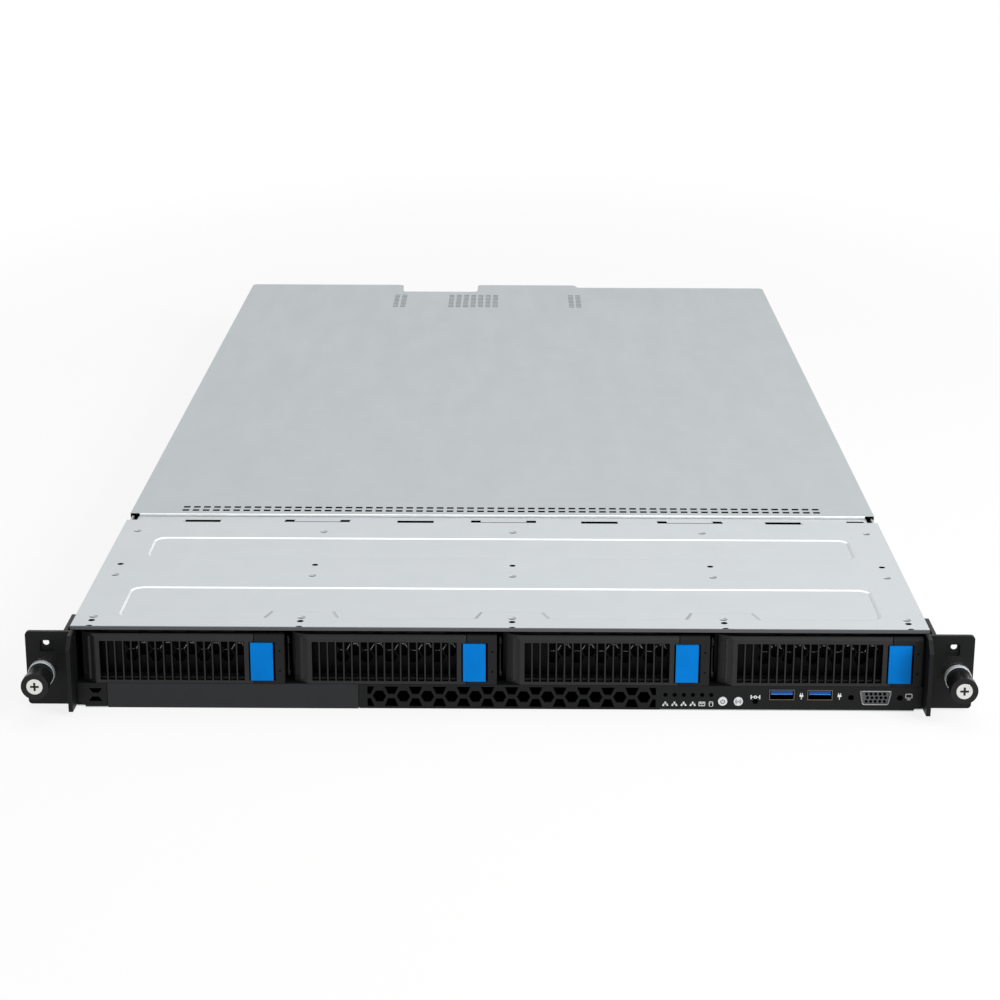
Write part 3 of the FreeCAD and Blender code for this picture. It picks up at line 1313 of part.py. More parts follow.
def rear_ports():
    """Network jacks and a stacked port block on the board's rear edge."""
    piece = Piece("rear_io_ports")
    back = f"{NOTCH_REAR}-fit_gap+0.3"
    bodies, mouths = [], []
    for index in range(2):
        centre = f"-jack_first+{index}*jack_pitch"
        bodies.append(rect(f"{centre}-jack_wide/2", BOARD_TOP,
                           f"{centre}+jack_wide/2", f"{BOARD_TOP}+jack_tall"))
        mouths.append(rect(f"{centre}-jack_open_wide/2", f"{BOARD_TOP}+jack_sill",
                           f"{centre}+jack_open_wide/2",
                           f"{BOARD_TOP}+jack_sill+jack_open_tall"))
    bodies.append(rect("-usb_stack_at-usb_stack_wide/2", BOARD_TOP,
                       "-usb_stack_at+usb_stack_wide/2", f"{BOARD_TOP}+jack_tall"))
    piece.pad("XZ", f"{back}-jack_long", bodies, "jack_long")
    piece.pocket("XZ", f"{back}-jack_open_deep", mouths, "jack_open_deep+1")
    slots = [rect("-usb_stack_at-tongue_wide/2", f"{BOARD_TOP}+{rise}",
                  "-usb_stack_at+tongue_wide/2", f"{BOARD_TOP}+{rise}+stack_slot_tall")
             for rise in ("stack_slot_low", "stack_slot_high")]
    piece.pocket("XZ", f"{back}-stack_slot_deep", slots, "stack_slot_deep+1")
    return piece


SUPPLY_LOW = "(sheet_thick+supply_lift)"
SUPPLY_FRONT = f"({SUPPLY_REAR}-supply_long)"


def power_board():
    """Upright board that joins the supplies to the main board, with a socket for each."""
    piece = Piece("power_board")
    reach = "(supply_pitch/2+supply_width/2)"
    start = f"({SUPPLY_FRONT}-power_board_lead)"
    board = rect(f"{SUPPLY_MID}-{reach}", "sheet_thick", f"{SUPPLY_MID}+{reach}", "supply_tall")
    piece.pad("XZ", start, [board], "board_thick")
    sockets = []
    for sign in ("-", "+"):
        centre = f"({SUPPLY_MID}{sign}supply_pitch/2)"
        sockets.append(rect(f"{centre}-power_socket_wide/2", "power_socket_low",
                            f"{centre}+power_socket_wide/2", "power_socket_high"))
    piece.pad("XZ", f"{start}+board_thick", sockets, "power_board_lead-board_thick-run_gap")
    return piece


def supply_cage():
    """Upright sheet between the two supply bays, standing on the floor."""
    piece = Piece("supply_cage")
    sheet = rect(f"{SUPPLY_MID}-cage_half", f"{SUPPLY_FRONT}+cage_inset",
                 f"{SUPPLY_MID}+cage_half", f"{SUPPLY_REAR}-3*sheet_thick")
    piece.pad("XY", "sheet_thick", [sheet], f"{WALL_TOP}-sheet_thick-fit_gap")
    return piece


def supply_base(index):
    across = f"{SUPPLY_MID}+({index}-0.5)*supply_pitch"
    return across, SUPPLY_REAR, SUPPLY_LOW


def supply(index):
    """Power supply: closed case, inlet with three pins, vent slots and a pull handle."""
    piece = Piece(f"power_supply_{index + 1}", supply_base(index))
    half = "supply_width/2"
    piece.pad("XY", "0", [rect(f"-{half}", "-supply_long", half, "0")], "supply_tall")
    inlet = rect("-inlet_offset-inlet_wide/2", "inlet_height-inlet_tall/2",
                 "-inlet_offset+inlet_wide/2", "inlet_height+inlet_tall/2")
    piece.pocket("XZ", "-inlet_deep", [inlet], "inlet_deep+1")
    middle = "-inlet_offset"
    pins = [(f"{middle}-inlet_pin_span/2", "inlet_height-inlet_pin_drop"),
            (middle, "inlet_height+inlet_pin_rise"),
            (f"{middle}+inlet_pin_span/2", "inlet_height-inlet_pin_drop")]
    blades = [rect(f"{across}-inlet_pin_wide/2", f"{up}-inlet_pin_wide",
                   f"{across}+inlet_pin_wide/2", f"{up}+inlet_pin_wide") for across, up in pins]
    piece.pad("XZ", "-inlet_deep", blades, "inlet_pin_long")
    slot = rect("-supply_vent_left", "supply_vent_low", "-supply_vent_left+supply_vent_wide",
                "supply_vent_high")
    vent = piece.pocket("XZ", "-supply_vent_deep", [slot], "supply_vent_deep+1")
    piece.repeat(vent, "X", "supply_vent_count", "supply_vent_pitch")
    outer = rect("-handle_wide/2", "0", "handle_wide/2", "handle_reach")
    piece.pad("XY", "handle_height-handle_thick/2", [outer], "handle_thick")
    grip = rect("-handle_wide/2+handle_bar", "0", "handle_wide/2-handle_bar",
                "handle_reach-handle_bar")
    piece.pocket("XY", "handle_height-handle_thick", [grip], "2*handle_thick")
    slot = rect(f"{half}-tab_inset-tab_wide-tab_travel", "tab_low-run_gap",
                f"{half}-tab_inset+tab_room", "tab_high+run_gap")
    piece.pocket("XZ", "-tab_deep-run_gap", [slot], "tab_deep+1")
    return piece


def supply_latch(index):
    """Sideways tab that frees the supply."""
    piece = Piece(f"supply_latch_{index + 1}", supply_base(index))
    right = "(supply_width/2-tab_inset)"
    piece.pad("XZ", "-tab_deep", [rect(f"{right}-tab_wide", "tab_low", right, "tab_high")],
              "tab_deep+fit_gap")
    piece.pad("XZ", "fit_gap", [rect(f"{right}-tab_head_wide", "tab_low", right, "tab_high")],
              "tab_head_deep")
    return piece


def button(label, across, diameter):
    """Round push button in its panel hole."""
    piece = Piece(label, (across, f"{FACE}-button_proud", "button_height"))
    piece.pad("XZ", "0", [disc("0", "0", diameter)], "button_long")
    return piece


def rail_studs():
    """Headed studs on both walls that hook into the slide rails."""
    piece = Piece("rail_studs")
    for start, head in ((f"-{WALL_OUT}-stud_long", f"-{WALL_OUT}-stud_long-stud_head_long"),
                        (WALL_OUT, f"{WALL_OUT}+stud_long")):
        shank = piece.pad("YZ", start, [disc("stud_first", "stud_height", "stud_dia")],
                          "stud_long")
        piece.repeat(shank, "Y", "stud_count", "stud_pitch")
        cap = piece.pad("YZ", head, [disc("stud_first", "stud_height", "stud_head_dia")],
                        "stud_head_long")
        piece.repeat(cap, "Y", "stud_count", "stud_pitch")
    return piece


def top_cover():
    """Sliding rear lid: front lip, vent rows, rear vent patches and an edge with lobes."""
    piece = Piece("top_cover")
    half = HALF
    lid = [(f"-{half}", "joint_line"), (half, "joint_line"), (half, SUPPLY_REAR),
           (LOBE_RIGHT, SUPPLY_REAR), (LOBE_RIGHT, "case_depth"),
           ("-lobe_mid", "case_depth"), ("-lobe_mid", NOTCH_REAR), ("-lobe_left", NOTCH_REAR),
           ("-lobe_left", "case_depth"), (f"-{half}", "case_depth")]
    piece.pad("XY", COVER_LOW, [lid], "sheet_thick")
    rear = value(NOTCH_REAR)
    piece.soften("Fillet", "lid_corner",
                 lambda edge: along(edge, "z") and edge.CenterOfMass.y > rear - 0.01)
    lip = f"({half}-strip_inset)"
    piece.pad("XY", f"{COVER_LOW}-strip_drop+sheet_thick+fit_gap/2",
              [rect(f"-{lip}", "joint_line", lip, "joint_line+sheet_thick")], "strip_drop-0.2")
    cut, deep = f"{COVER_LOW}-sheet_thick", "3*sheet_thick"
    left, line = f"(-{half}+lid_vent_first)", "(joint_line+lid_vent_line)"
    rows = [rect(left, f"{line}+{step}*lid_row_pitch", f"{left}+lid_vent_wide",
                 f"{line}+{step}*lid_row_pitch+lid_vent_long") for step in ("0", "1")]
    vents = piece.pocket("XY", cut, rows, deep)
    piece.repeat(vents, "X", f"floor((2*{half}-2*lid_vent_first)/lid_vent_pitch)+1",
                 "lid_vent_pitch")
    start = "(case_depth-patch_setback)"
    patches = (("-left_patch_at", "2"), ("-mid_patch_left", "7"), ("right_patch_at", "2"))
    for first, columns in patches:
        slot = rect(first, start, f"{first}+patch_slot", f"{start}+patch_row_deep")
        patch = piece.pocket("XY", cut, [slot], deep)
        piece.repeat(patch, "X", columns, "patch_pitch",
                     ("Y", "patch_rows", "patch_row_pitch"))
    return piece


def top_cover_sides():
    """The folded sides of the rear lid, which stop short of its rounded corners."""
    piece = Piece("top_cover_sides")
    half = HALF
    for sign, rear in (("-", "case_depth"), ("", SUPPLY_REAR)):
        fold = rect(f"{sign}{half}", "joint_line", f"{sign}({half}-sheet_thick)",
                    f"{rear}-lid_corner")
        piece.pad("XY", "case_height-cover_flange", [fold], "cover_flange-sheet_thick")
    return piece


BUILT = [
    chassis_base(), lower_panel(), front_top_rail(), optical_bay_blank(), front_cover(),
    drive_cage(), ear("left_ear", -1), ear("right_ear", 1), screw_collars(), backplane(),
    io_board(), usb_ports(), vga_port(), light_pipes(), fan_frames(), motherboard(),
    heatsinks(), memory_modules(), air_shroud(), riser_cards(), slot_covers(), rear_ports(),
    power_board(), supply_cage(), rail_studs(), top_cover(), top_cover_sides(),
    knob("thumbscrew_knob_left", -1), knob("thumbscrew_knob_right", 1),
    captive_screw("captive_screw_left", -1), captive_screw("captive_screw_right", 1),
    button("power_button", POWER_AT, "button_dia"),
    button("locator_button", LOCATOR_AT, "button_dia"),
    button("reset_button", RESET_AT, "reset_dia"),
]
for number in range(4):
    BUILT += [tray(number), lever(number), latch(number), drive(number)]
for number in range(6):
    BUILT.append(fan_rotor(number))
for number in range(2):
    BUILT += [supply(number), supply_latch(number)]

DOC.recompute()


def check(pieces):
    """Stops on any failed object, empty or invalid shape, or pocket that cuts nothing."""
    for item in DOC.Objects:
        if {"Invalid", "Error"} & set(item.State):
            raise ValueError(f"{item.Label} failed: {item.State}")
    for piece in pieces:
        shape = piece.body.Shape
        if shape.isNull() or not shape.isValid():
            raise ValueError(f"{piece.body.Label} has no valid shape")
        before = None
        for item in piece.body.Group:
            if not item.isDerivedFrom("PartDesign::Feature"):
                continue
            if item.TypeId == "PartDesign::Pocket" and item.Shape.Volume > before - 1e-6:
                raise ValueError(f"{item.Label} cuts nothing")
            before = item.Shape.Volume


check(BUILT)
os.makedirs("parts", exist_ok=True)
for piece in BUILT:
    piece.body.Shape.exportStep(os.path.join("parts", f"{piece.body.Label}.step"))
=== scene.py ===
"""Looks of a 1u rack server: finishes, printed marks, port details, studio and camera."""
import json
import math

import bmesh
import bpy
from mathutils import Matrix, Vector


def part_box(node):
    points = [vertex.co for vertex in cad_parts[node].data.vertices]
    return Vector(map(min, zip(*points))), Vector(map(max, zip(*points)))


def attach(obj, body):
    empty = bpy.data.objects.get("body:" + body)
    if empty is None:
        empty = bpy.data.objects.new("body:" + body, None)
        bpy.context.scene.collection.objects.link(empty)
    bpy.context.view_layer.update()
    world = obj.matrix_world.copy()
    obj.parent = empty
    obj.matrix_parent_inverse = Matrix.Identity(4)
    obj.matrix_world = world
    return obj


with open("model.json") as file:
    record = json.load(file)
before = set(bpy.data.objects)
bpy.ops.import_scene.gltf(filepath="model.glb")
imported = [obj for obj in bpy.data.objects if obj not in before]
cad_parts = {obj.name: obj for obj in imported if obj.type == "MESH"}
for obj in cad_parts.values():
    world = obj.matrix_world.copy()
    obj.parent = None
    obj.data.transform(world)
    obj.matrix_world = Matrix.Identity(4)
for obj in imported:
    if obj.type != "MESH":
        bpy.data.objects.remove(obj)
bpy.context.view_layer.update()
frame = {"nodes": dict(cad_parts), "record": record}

MM = 0.001
WHITE = (1, 1, 1, 1)


# Studio

FOCAL_PIXELS = 2290.8
IMAGE_PIXELS = 1000
SENSOR = 36.0
CLIP_START = 0.01
CAMERA_PLACE = Vector((0.0076, -1.0927, 0.4488))
PITCH_DOWN = math.radians(17.153)
YAW = math.radians(-0.392)
ROLL = math.radians(0.142)


def make_camera():
    """The photograph's view: a long lens a little above the front, nearly square on."""
    ahead = Vector((math.sin(YAW) * math.cos(PITCH_DOWN),
                    math.cos(YAW) * math.cos(PITCH_DOWN), -math.sin(PITCH_DOWN)))
    level = Vector((math.cos(YAW), -math.sin(YAW), 0))
    above = level.cross(ahead)
    right = level * math.cos(ROLL) + above * math.sin(ROLL)
    up = above * math.cos(ROLL) - level * math.sin(ROLL)
    data = bpy.data.cameras.new("camera")
    data.sensor_width = SENSOR
    data.lens = FOCAL_PIXELS / IMAGE_PIXELS * SENSOR
    data.clip_start = CLIP_START
    camera = bpy.data.objects.new("camera", data)
    turn = Matrix((right, up, -ahead)).transposed().to_4x4()
    camera.matrix_world = Matrix.Translation(CAMERA_PLACE) @ turn
    bpy.context.scene.collection.objects.link(camera)
    bpy.context.scene.camera = camera


def add_node(tree, kind, inputs):
    """A shader node whose inputs take values or other nodes' outputs."""
    node = tree.nodes.new("ShaderNode" + kind)
    for key, value in inputs.items():
        if isinstance(value, bpy.types.NodeSocket):
            tree.links.new(value, node.inputs[key])
        else:
            node.inputs[key].default_value = value
    return node


def joined(tree, operation, first, second):
    """Maths of two outputs."""
    maths = add_node(tree, "Math", {0: first, 1: second})
    maths.operation = operation
    return maths.outputs[0]


def seen_directly(tree):
    """1 for camera, glossy and transmission rays, and 0 for the light that falls on things."""
    path = add_node(tree, "LightPath", {}).outputs
    either = joined(tree, "MAXIMUM", path["Is Camera Ray"], path["Is Glossy Ray"])
    return joined(tree, "MAXIMUM", either, path["Is Transmission Ray"])


def glow(tree, kind, strength):
    """A white background or emission."""
    return add_node(tree, kind, {"Color": WHITE, "Strength": strength}).outputs[0]


def blend(tree, factor, first, second, output):
    """Mixes two shaders into the surface of an output node."""
    mix = add_node(tree, "MixShader", {0: factor, 1: first, 2: second})
    tree.links.new(mix.outputs[0], output.inputs["Surface"])


WORLD_LIGHT = 0.55


def make_world():
    """White surroundings that light things more weakly than they look."""
    world = bpy.data.worlds.new("studio")
    bpy.context.scene.world = world
    world.use_nodes = True
    tree = world.node_tree
    tree.nodes.clear()
    blend(tree, seen_directly(tree), glow(tree, "Background", WORLD_LIGHT),
          glow(tree, "Background", 1.0), add_node(tree, "OutputWorld", {}))


# Each lamp's place and target in metres, its width and height, and its power.
STUDIO_LAMPS = {
    "key": ((1.35, -0.8, 1.0), (0, 0.2, 0), (0.9, 0.9), 26.0),
    "top": ((0.2, 0.6, 2.4), (0, 0.35, 0), (2.2, 1.6), 13.0),
    "front": ((0.4, -2.4, 1.1), (0, 0, 0.02), (1.8, 0.9), 2.0),
}


def make_lights():
    """A lamp at the front right, a weaker one above and a faint one in front."""
    for name, (place, target, size, power) in STUDIO_LAMPS.items():
        data = bpy.data.lights.new(name, "AREA")
        data.shape = "RECTANGLE"
        data.size, data.size_y = size
        data.energy = power
        lamp = bpy.data.objects.new(name, data)
        lamp.location = place
        aim = Vector(target) - Vector(place)
        lamp.rotation_euler = aim.to_track_quat("-Z", "Y").to_euler()
        bpy.context.scene.collection.objects.link(lamp)


FLOOR_REACH = 6.0
FLOOR_COLOR = (0.86, 0.86, 0.85, 1)
FLOOR_MIDDLE = (0.0, 0.42, 0.0)
FLOOR_HALF = (0.42, 0.75, 1.0)
FLOOR_GLOW = 0.82
GLOW_FULL = 1.8


def make_floor():
    """Pale floor that takes the shadow near the object and reads as white further out."""
    mesh = bpy.data.meshes.new("floor")
    corners = square(-FLOOR_REACH, -FLOOR_REACH, FLOOR_REACH, FLOOR_REACH)
    mesh.from_pydata([(*corner, 0) for corner in corners], [], [(0, 1, 2, 3)])
    floor = bpy.data.objects.new("floor", mesh)
    bpy.context.scene.collection.objects.link(floor)
    finish = Finish("floor_white", FLOOR_COLOR, roughness=0.9, specular=0.1)
    tree = finish.tree
    place = finish.object_place()
    for operation, value in (("SUBTRACT", FLOOR_MIDDLE), ("DIVIDE", FLOOR_HALF)):
        step = add_node(tree, "VectorMath", {0: place, 1: value})
        step.operation = operation
        place = step.outputs[0]
    distance = add_node(tree, "VectorMath", {0: place})
    distance.operation = "LENGTH"
    share = finish.spread(distance.outputs["Value"], FLOOR_GLOW, 1.0, 1.0, GLOW_FULL)
    blend(tree, joined(tree, "MULTIPLY", share, seen_directly(tree)), finish.shader.outputs[0],
          glow(tree, "Emission", 1.0), tree.nodes["Material Output"])
    mesh.materials.append(finish.material)


# Materials

EVEN = (1, 1, 1)
ROLLED = (1, 0.2, 1)
DRAWN = (1, 0.1, 1)
BEVEL_SAMPLES = 6
NOISE_RANGE = (0.3, 0.7)

# Soft edge in millimetres, then three noises: patches of colour (scale, detail, darkest and
# lightest share), smears of roughness (scale, detail, loss and gain) and the grain of the
# relief (scale, detail, height in millimetres, strength). A detail of 0 stands for cells.
WEAR = {
    "zinc": (0.25, (45, 4, 0.985, 1.015), (60, 3, 0.05, 0.06), (900, 3, 0.02, 0.25)),
    "powder": (0.35, (140, 3, 0.9, 1.12), (300, 2, 0.05, 0.06), (1400, 2, 0.03, 0.35)),
    "moulded": (0.3, (90, 2, 0.94, 1.06), (500, 2, 0.04, 0.05), (2200, 2, 0.02, 0.4)),
    "metal": (0.15, (120, 2, 0.94, 1.04), (700, 3, 0.06, 0.08), (1500, 2, 0.01, 0.2)),
    "board": (0, (260, 0, 0.75, 1.5), (300, 2, 0.07, 0.1), (900, 2, 0.02, 0.3)),
    "ink": (0, (800, 3, 0.9, 1.0), (900, 2, 0.05, 0.1), (2600, 2, 0.01, 0.3)),
}


def srgb(red, green, blue):
    """Linear colour of an 8-bit display colour."""
    def linear(channel):
        share = channel / 255
        return share / 12.92 if share <= 0.04045 else ((share + 0.055) / 1.055) ** 2.4
    return linear(red), linear(green), linear(blue), 1.0


def shade(color, factor):
    return tuple(channel * factor for channel in color[:3]) + (1.0,)


class Finish:
    """A Principled material with short calls for the nodes that a finish needs."""

    def __init__(self, name, color, roughness, metallic=0.0, specular=0.5):
        self.material = bpy.data.materials.new(name)
        self.material.use_nodes = True
        self.tree = self.material.node_tree
        self.shader = self.tree.nodes["Principled BSDF"]
        for key, value in (("Base Color", color), ("Roughness", roughness),
                           ("Metallic", metallic), ("Specular IOR Level", specular)):
            self.shader.inputs[key].default_value = value
        self.color = color
        self.roughness = roughness
        self.normal = None

    def object_place(self):
        return add_node(self.tree, "TexCoord", {}).outputs["Object"]

    def noise(self, scale, detail, stretch=EVEN):
        """Noise in object coordinates, stretched by a scale."""
        place = add_node(self.tree, "Mapping", {"Scale": stretch, "Vector": self.object_place()})
        return add_node(self.tree, "TexNoise", {"Scale": scale, "Detail": detail,
                                                "Vector": place.outputs["Vector"]}).outputs["Fac"]

    def cells(self, scale):
        return add_node(self.tree, "TexVoronoi", {"Scale": scale, "Vector": self.object_place()}
                        ).outputs["Color"]

    def spread(self, source, low, high, start=NOISE_RANGE[0], end=NOISE_RANGE[1]):
        """A range of the source, by default a noise's middle, between two values."""
        return add_node(self.tree, "MapRange", {
            "From Min": start, "From Max": end, "To Min": low, "To Max": high, "Value": source,
        }).outputs["Result"]

    def beyond(self, axis, start, end):
        """0 up to the first place on an object axis and 1 past the second, in millimetres."""
        split = add_node(self.tree, "SeparateXYZ", {"Vector": self.object_place()})
        return self.spread(split.outputs[axis], 0, 1, start * MM, end * MM)

    def give(self, output, key):
        self.tree.links.new(output, self.shader.inputs[key])

    def mixed(self, factor, color):
        """Mixes a colour into the base colour and gives back the other colour's input."""
        mix = add_node(self.tree, "Mix", {"Factor": factor})
        mix.data_type = "RGBA"
        mix.inputs["B"].default_value = color
        self.give(mix.outputs["Result"], "Base Color")
        return mix.inputs["A"]

    def tint(self, source, low, high):
        """Base colour that wanders between two shares of the finish's colour."""
        other = self.mixed(self.spread(source, 0, 1), shade(self.color, high))
        other.default_value = shade(self.color, low)

    def repaint(self, factor, color):
        """Another display colour where the factor is 1."""
        before = self.shader.inputs["Base Color"].links[0].from_socket
        self.tree.links.new(before, self.mixed(factor, srgb(*color)))

    def rough(self, source, low, high):
        self.give(self.spread(source, low, high), "Roughness")

    def edge(self, radius):
        """Softened edges."""
        bevel = add_node(self.tree, "Bevel", {"Radius": radius * MM})
        bevel.samples = BEVEL_SAMPLES
        self.normal = bevel.outputs["Normal"]
        self.give(self.normal, "Normal")

    def bump(self, source, height, strength):
        inputs = {"Distance": height * MM, "Strength": strength, "Height": source}
        if self.normal:
            inputs["Normal"] = self.normal
        self.give(add_node(self.tree, "Bump", inputs).outputs["Normal"], "Normal")

    def wear(self, kind, patch_scale=None, smear=EVEN, grain=EVEN):
        """Soft edges, uneven colour and roughness and a fine relief, as WEAR gives them."""
        radius, patches, smears, relief = WEAR[kind]
        if radius:
            self.edge(radius)
        scale, detail, *shares = patches
        scale = patch_scale or scale
        self.tint(self.noise(scale, detail) if detail else self.cells(scale), *shares)
        self.rough(self.noise(*smears[:2], smear), self.roughness - smears[2],
                   self.roughness + smears[3])
        self.bump(self.noise(*relief[:2], grain), *relief[2:])


# Painted shade on the case sheet: black at its front, between the trays and inside the bays.
PAINTED_SHADE_BLACK = (14, 14, 15)
SHADE_FRONT_DEPTH = 13.5
SHADE_ABOVE = 0.45
SHADE_BAY_DEPTH = 170.0
WALL_INSIDE = 216.5
WALL_FADE = 0.999
FADE = 0.3
THIN_FADE = 0.1


def zinc(name, color, metallic, roughness, speckle=None, painted_shade=False):
    """Zinc-coated sheet: faint crystal patches, fine grain and streaks, and if asked painted
    shade: black along the front, between the trays and inside the bays.
    """
    finish = Finish(name, color, roughness, metallic)
    finish.wear("zinc", speckle, ROLLED)
    if painted_shade:
        tree = finish.tree
        front = finish.beyond("Y", SHADE_FRONT_DEPTH + FADE, SHADE_FRONT_DEPTH)
        bay = finish.beyond("Y", SHADE_BAY_DEPTH + FADE, SHADE_BAY_DEPTH)
        for side in (-WALL_INSIDE, WALL_INSIDE):
            within = finish.beyond("X", side, side * WALL_FADE)
            bay = joined(tree, "MULTIPLY", bay, within)
        above = finish.beyond("Z", SHADE_ABOVE, SHADE_ABOVE + THIN_FADE)
        either = joined(tree, "MAXIMUM", front, bay)
        # Painted shade: black where the front or bay mask meets the height mask.
        finish.repaint(joined(tree, "MULTIPLY", either, above), PAINTED_SHADE_BLACK)
    return finish.material


# Height above which the powder coat takes the rail's painted sheen.
RAIL_SHEEN_BASE = 42.2


def powder_coat(name, color, roughness, rail_sheen_color):
    """Black powder coat with fine orange peel, and a painted sheen that makes the rail at the top
    lighter.
    """
    finish = Finish(name, color, roughness, specular=0.2)
    finish.wear("powder")
    finish.repaint(finish.beyond("Z", RAIL_SHEEN_BASE, RAIL_SHEEN_BASE + THIN_FADE), rail_sheen_color)
    return finish.material


# Painted shade, near black, for what lies deep inside a tray.
PAINTED_DEPTH_SHADE = (2, 2, 2)


def moulded(name, color, roughness, specular=0.25, shade_from=None):
    """Moulded plastic with a spark-eroded grain, and painted shade (black) behind a depth if one
    is given.
    """
    finish = Finish(name, color, roughness, specular=specular)
    finish.wear("moulded")
    if shade_from is not None:
        finish.repaint(finish.beyond("Y", shade_from, shade_from + FADE), PAINTED_DEPTH_SHADE)
    return finish.material


def bright_metal(name, color, roughness, streak=EVEN):
    """Plated or turned metal with fine tool marks."""
    finish = Finish(name, color, roughness, metallic=1.0)
    finish.wear("metal", None, streak, streak)
    return finish.material


def solder_mask(name, color, roughness):
    """Circuit board whose colour wanders in faint cells under the lacquer."""
    finish = Finish(name, color, roughness)
    finish.wear("board")
    return finish.material


def ink(name, color, roughness):
    """Printed ink: slightly uneven cover and a faint relief."""
    finish = Finish(name, color, roughness, specular=0.3)
    finish.wear("ink")
    return finish.material


# Finish of each packed slot: its name, kind and display colour, then what its kind takes.
SLOT_LOOKS = {
    # case_steel: True turns on its painted shade at the front and in the bays.
    "case_steel": ("zinc_base", zinc, (190, 194, 196), 0.75, 0.42, 30, True),
    "front_cover_steel": ("zinc_front", zinc, (195, 200, 203), 0.25, 0.4),
    "top_cover_steel": ("zinc_rear", zinc, (178, 184, 187), 0.25, 0.45, 60),
    # black_panel: its last colour is the painted sheen of the rail.
    "black_panel": ("powder_black", powder_coat, (13, 14, 15), 0.45, (80, 83, 86)),
    "black_plastic": ("plastic_black", moulded, (16, 16, 17), 0.55, 0.15),
    "bay_blank_plastic": ("plastic_blank", moulded, (34, 35, 37), 0.45),
    "screw_steel": ("nickel", bright_metal, (225, 225, 222), 0.22),
    "knob_black": ("knob_black", moulded, (18, 18, 19), 0.32),
    "circuit_board": ("solder_green", solder_mask, (20, 70, 42), 0.35),
    "port_metal": ("tin", bright_metal, (112, 100, 88), 0.4),
    "clear_plastic": ("pipe_plastic", moulded, (3, 3, 3), 0.6, 0.0),
    "sink_aluminium": ("aluminium_fin", bright_metal, (215, 217, 219), 0.3, DRAWN),
    "button_white": ("button_white", moulded, (220, 222, 224), 0.35),
    "button_black": ("button_black", moulded, (2, 2, 2), 0.7, 0.0),
    # tray_plastic: painted shade from 4 mm behind the tray's front.
    "tray_plastic": ("tray_black", moulded, (27, 27, 28), 0.45, 0.15, 4.0),
    "lever_plastic": ("lever_black", moulded, (34, 34, 35), 0.42),
    "latch_blue": ("latch_blue", moulded, (0, 116, 200), 0.5, 0.05),
    "drive_casting": ("drive_black", moulded, (5, 5, 6), 0.6, 0.1),
    "rotor_plastic": ("rotor_black", moulded, (16, 16, 17), 0.5),
    "supply_steel": ("zinc_supply", zinc, (196, 199, 201), 0.75, 0.36, 40),
    "supply_latch_plastic": ("supply_blue", moulded, (0, 122, 214), 0.42, 0.1),
}

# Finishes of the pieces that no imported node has.
SMALL_LOOKS = {
    "ink_white": (ink, (226, 227, 228), 0.5),
    "ink_grey": (ink, (88, 90, 92), 0.5),
    "tongue_blue": (moulded, (4, 66, 142), 0.4),
    # The tongue's blue as a painted highlight, for its lower front edge.
    "tongue_light": (moulded, (66, 140, 205), 0.4),
    # Painted shade, near black, for holes, slots, gaps and hollows.
    "liner_black": (moulded, (4, 4, 4), 0.8, 0.0),
    "socket_grey": (moulded, (88, 90, 92), 0.6, 0.1),
    "contact_gold": (bright_metal, (196, 160, 84), 0.3),
    "spring_dark": (bright_metal, (40, 41, 42), 0.45),
    # Painted highlights on the pressing edges and the lid's hem, and painted shade on the notch
    # slopes.
    "edge_bright": (bright_metal, (250, 251, 252), 0.35),
    "edge_soft": (moulded, (222, 225, 227), 0.5),
    "edge_grey": (moulded, (172, 175, 177), 0.6),
    "glint_grey": (moulded, (178, 179, 180), 0.4),
    "shade_grey": (moulded, (46, 47, 48), 0.8, 0.0),
    "rim_steel": (bright_metal, (150, 150, 150), 0.4),
    "lamp_green": (moulded, (66, 140, 84), 0.3),
}


def finished(name, kind, color, *rest):
    return kind(name, srgb(*color), *rest)


MATERIALS = {slot: finished(*row) for slot, row in SLOT_LOOKS.items()}
SMALL = {name: finished(name, *row) for name, row in SMALL_LOOKS.items()}


def dress_nodes():
    """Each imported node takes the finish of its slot."""
    for row in frame["record"]["subparts"]:
        materials = frame["nodes"][row["node"]].data.materials
        materials.clear()
        materials.append(MATERIALS[row["material_slot"]])


# Places and outlines, in millimetres

FIT_GAP = 0.2
TRAYS = (1, 2, 3, 4)
INNER_TRAYS = TRAYS[1:]
COVER_TOP = 44.0
COLUMN_OFFSET = 3.2
EDGE_COLUMN = 9.5


def box_mm(node):
    """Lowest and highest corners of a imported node, in millimetres."""
    low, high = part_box(node)
    return [value / MM for value in low], [value / MM for value in high]


def middle(node):
    low, high = box_mm(node)
    return [(first + last) / 2 for first, last in zip(low, high)]


def bay_left(number):
    """Left end of a tray's bay."""
    return box_mm(f"lever_{number}")[0][0] - FIT_GAP


def inner_columns():
    """Middles of the front cover's notches and inner hole columns."""
    return [bay_left(number) + COLUMN_OFFSET for number in INNER_TRAYS]


def hole_columns():
    """All five hole columns of the front cover."""
    half = box_mm("front_cover")[1][0]
    return [-half + EDGE_COLUMN, *inner_columns(), half - EDGE_COLUMN]


def square(left, base, right, top):
    return [(left, base), (right, base), (right, top), (left, top)]


def sides(left, base, right, top):
    """The four sides of a box, each by its two ends."""
    corners = square(left, base, right, top)
    return [(*corner, *after) for corner, after in zip(corners, corners[1:] + corners[:1])]


def polar(across, up, reach, turn, squash=1.0):
    return across + reach * math.cos(turn), up + squash * reach * math.sin(turn)


def circle(across, up, radius, steps=20):
    return [polar(across, up, radius, math.tau * step / steps) for step in range(steps)]


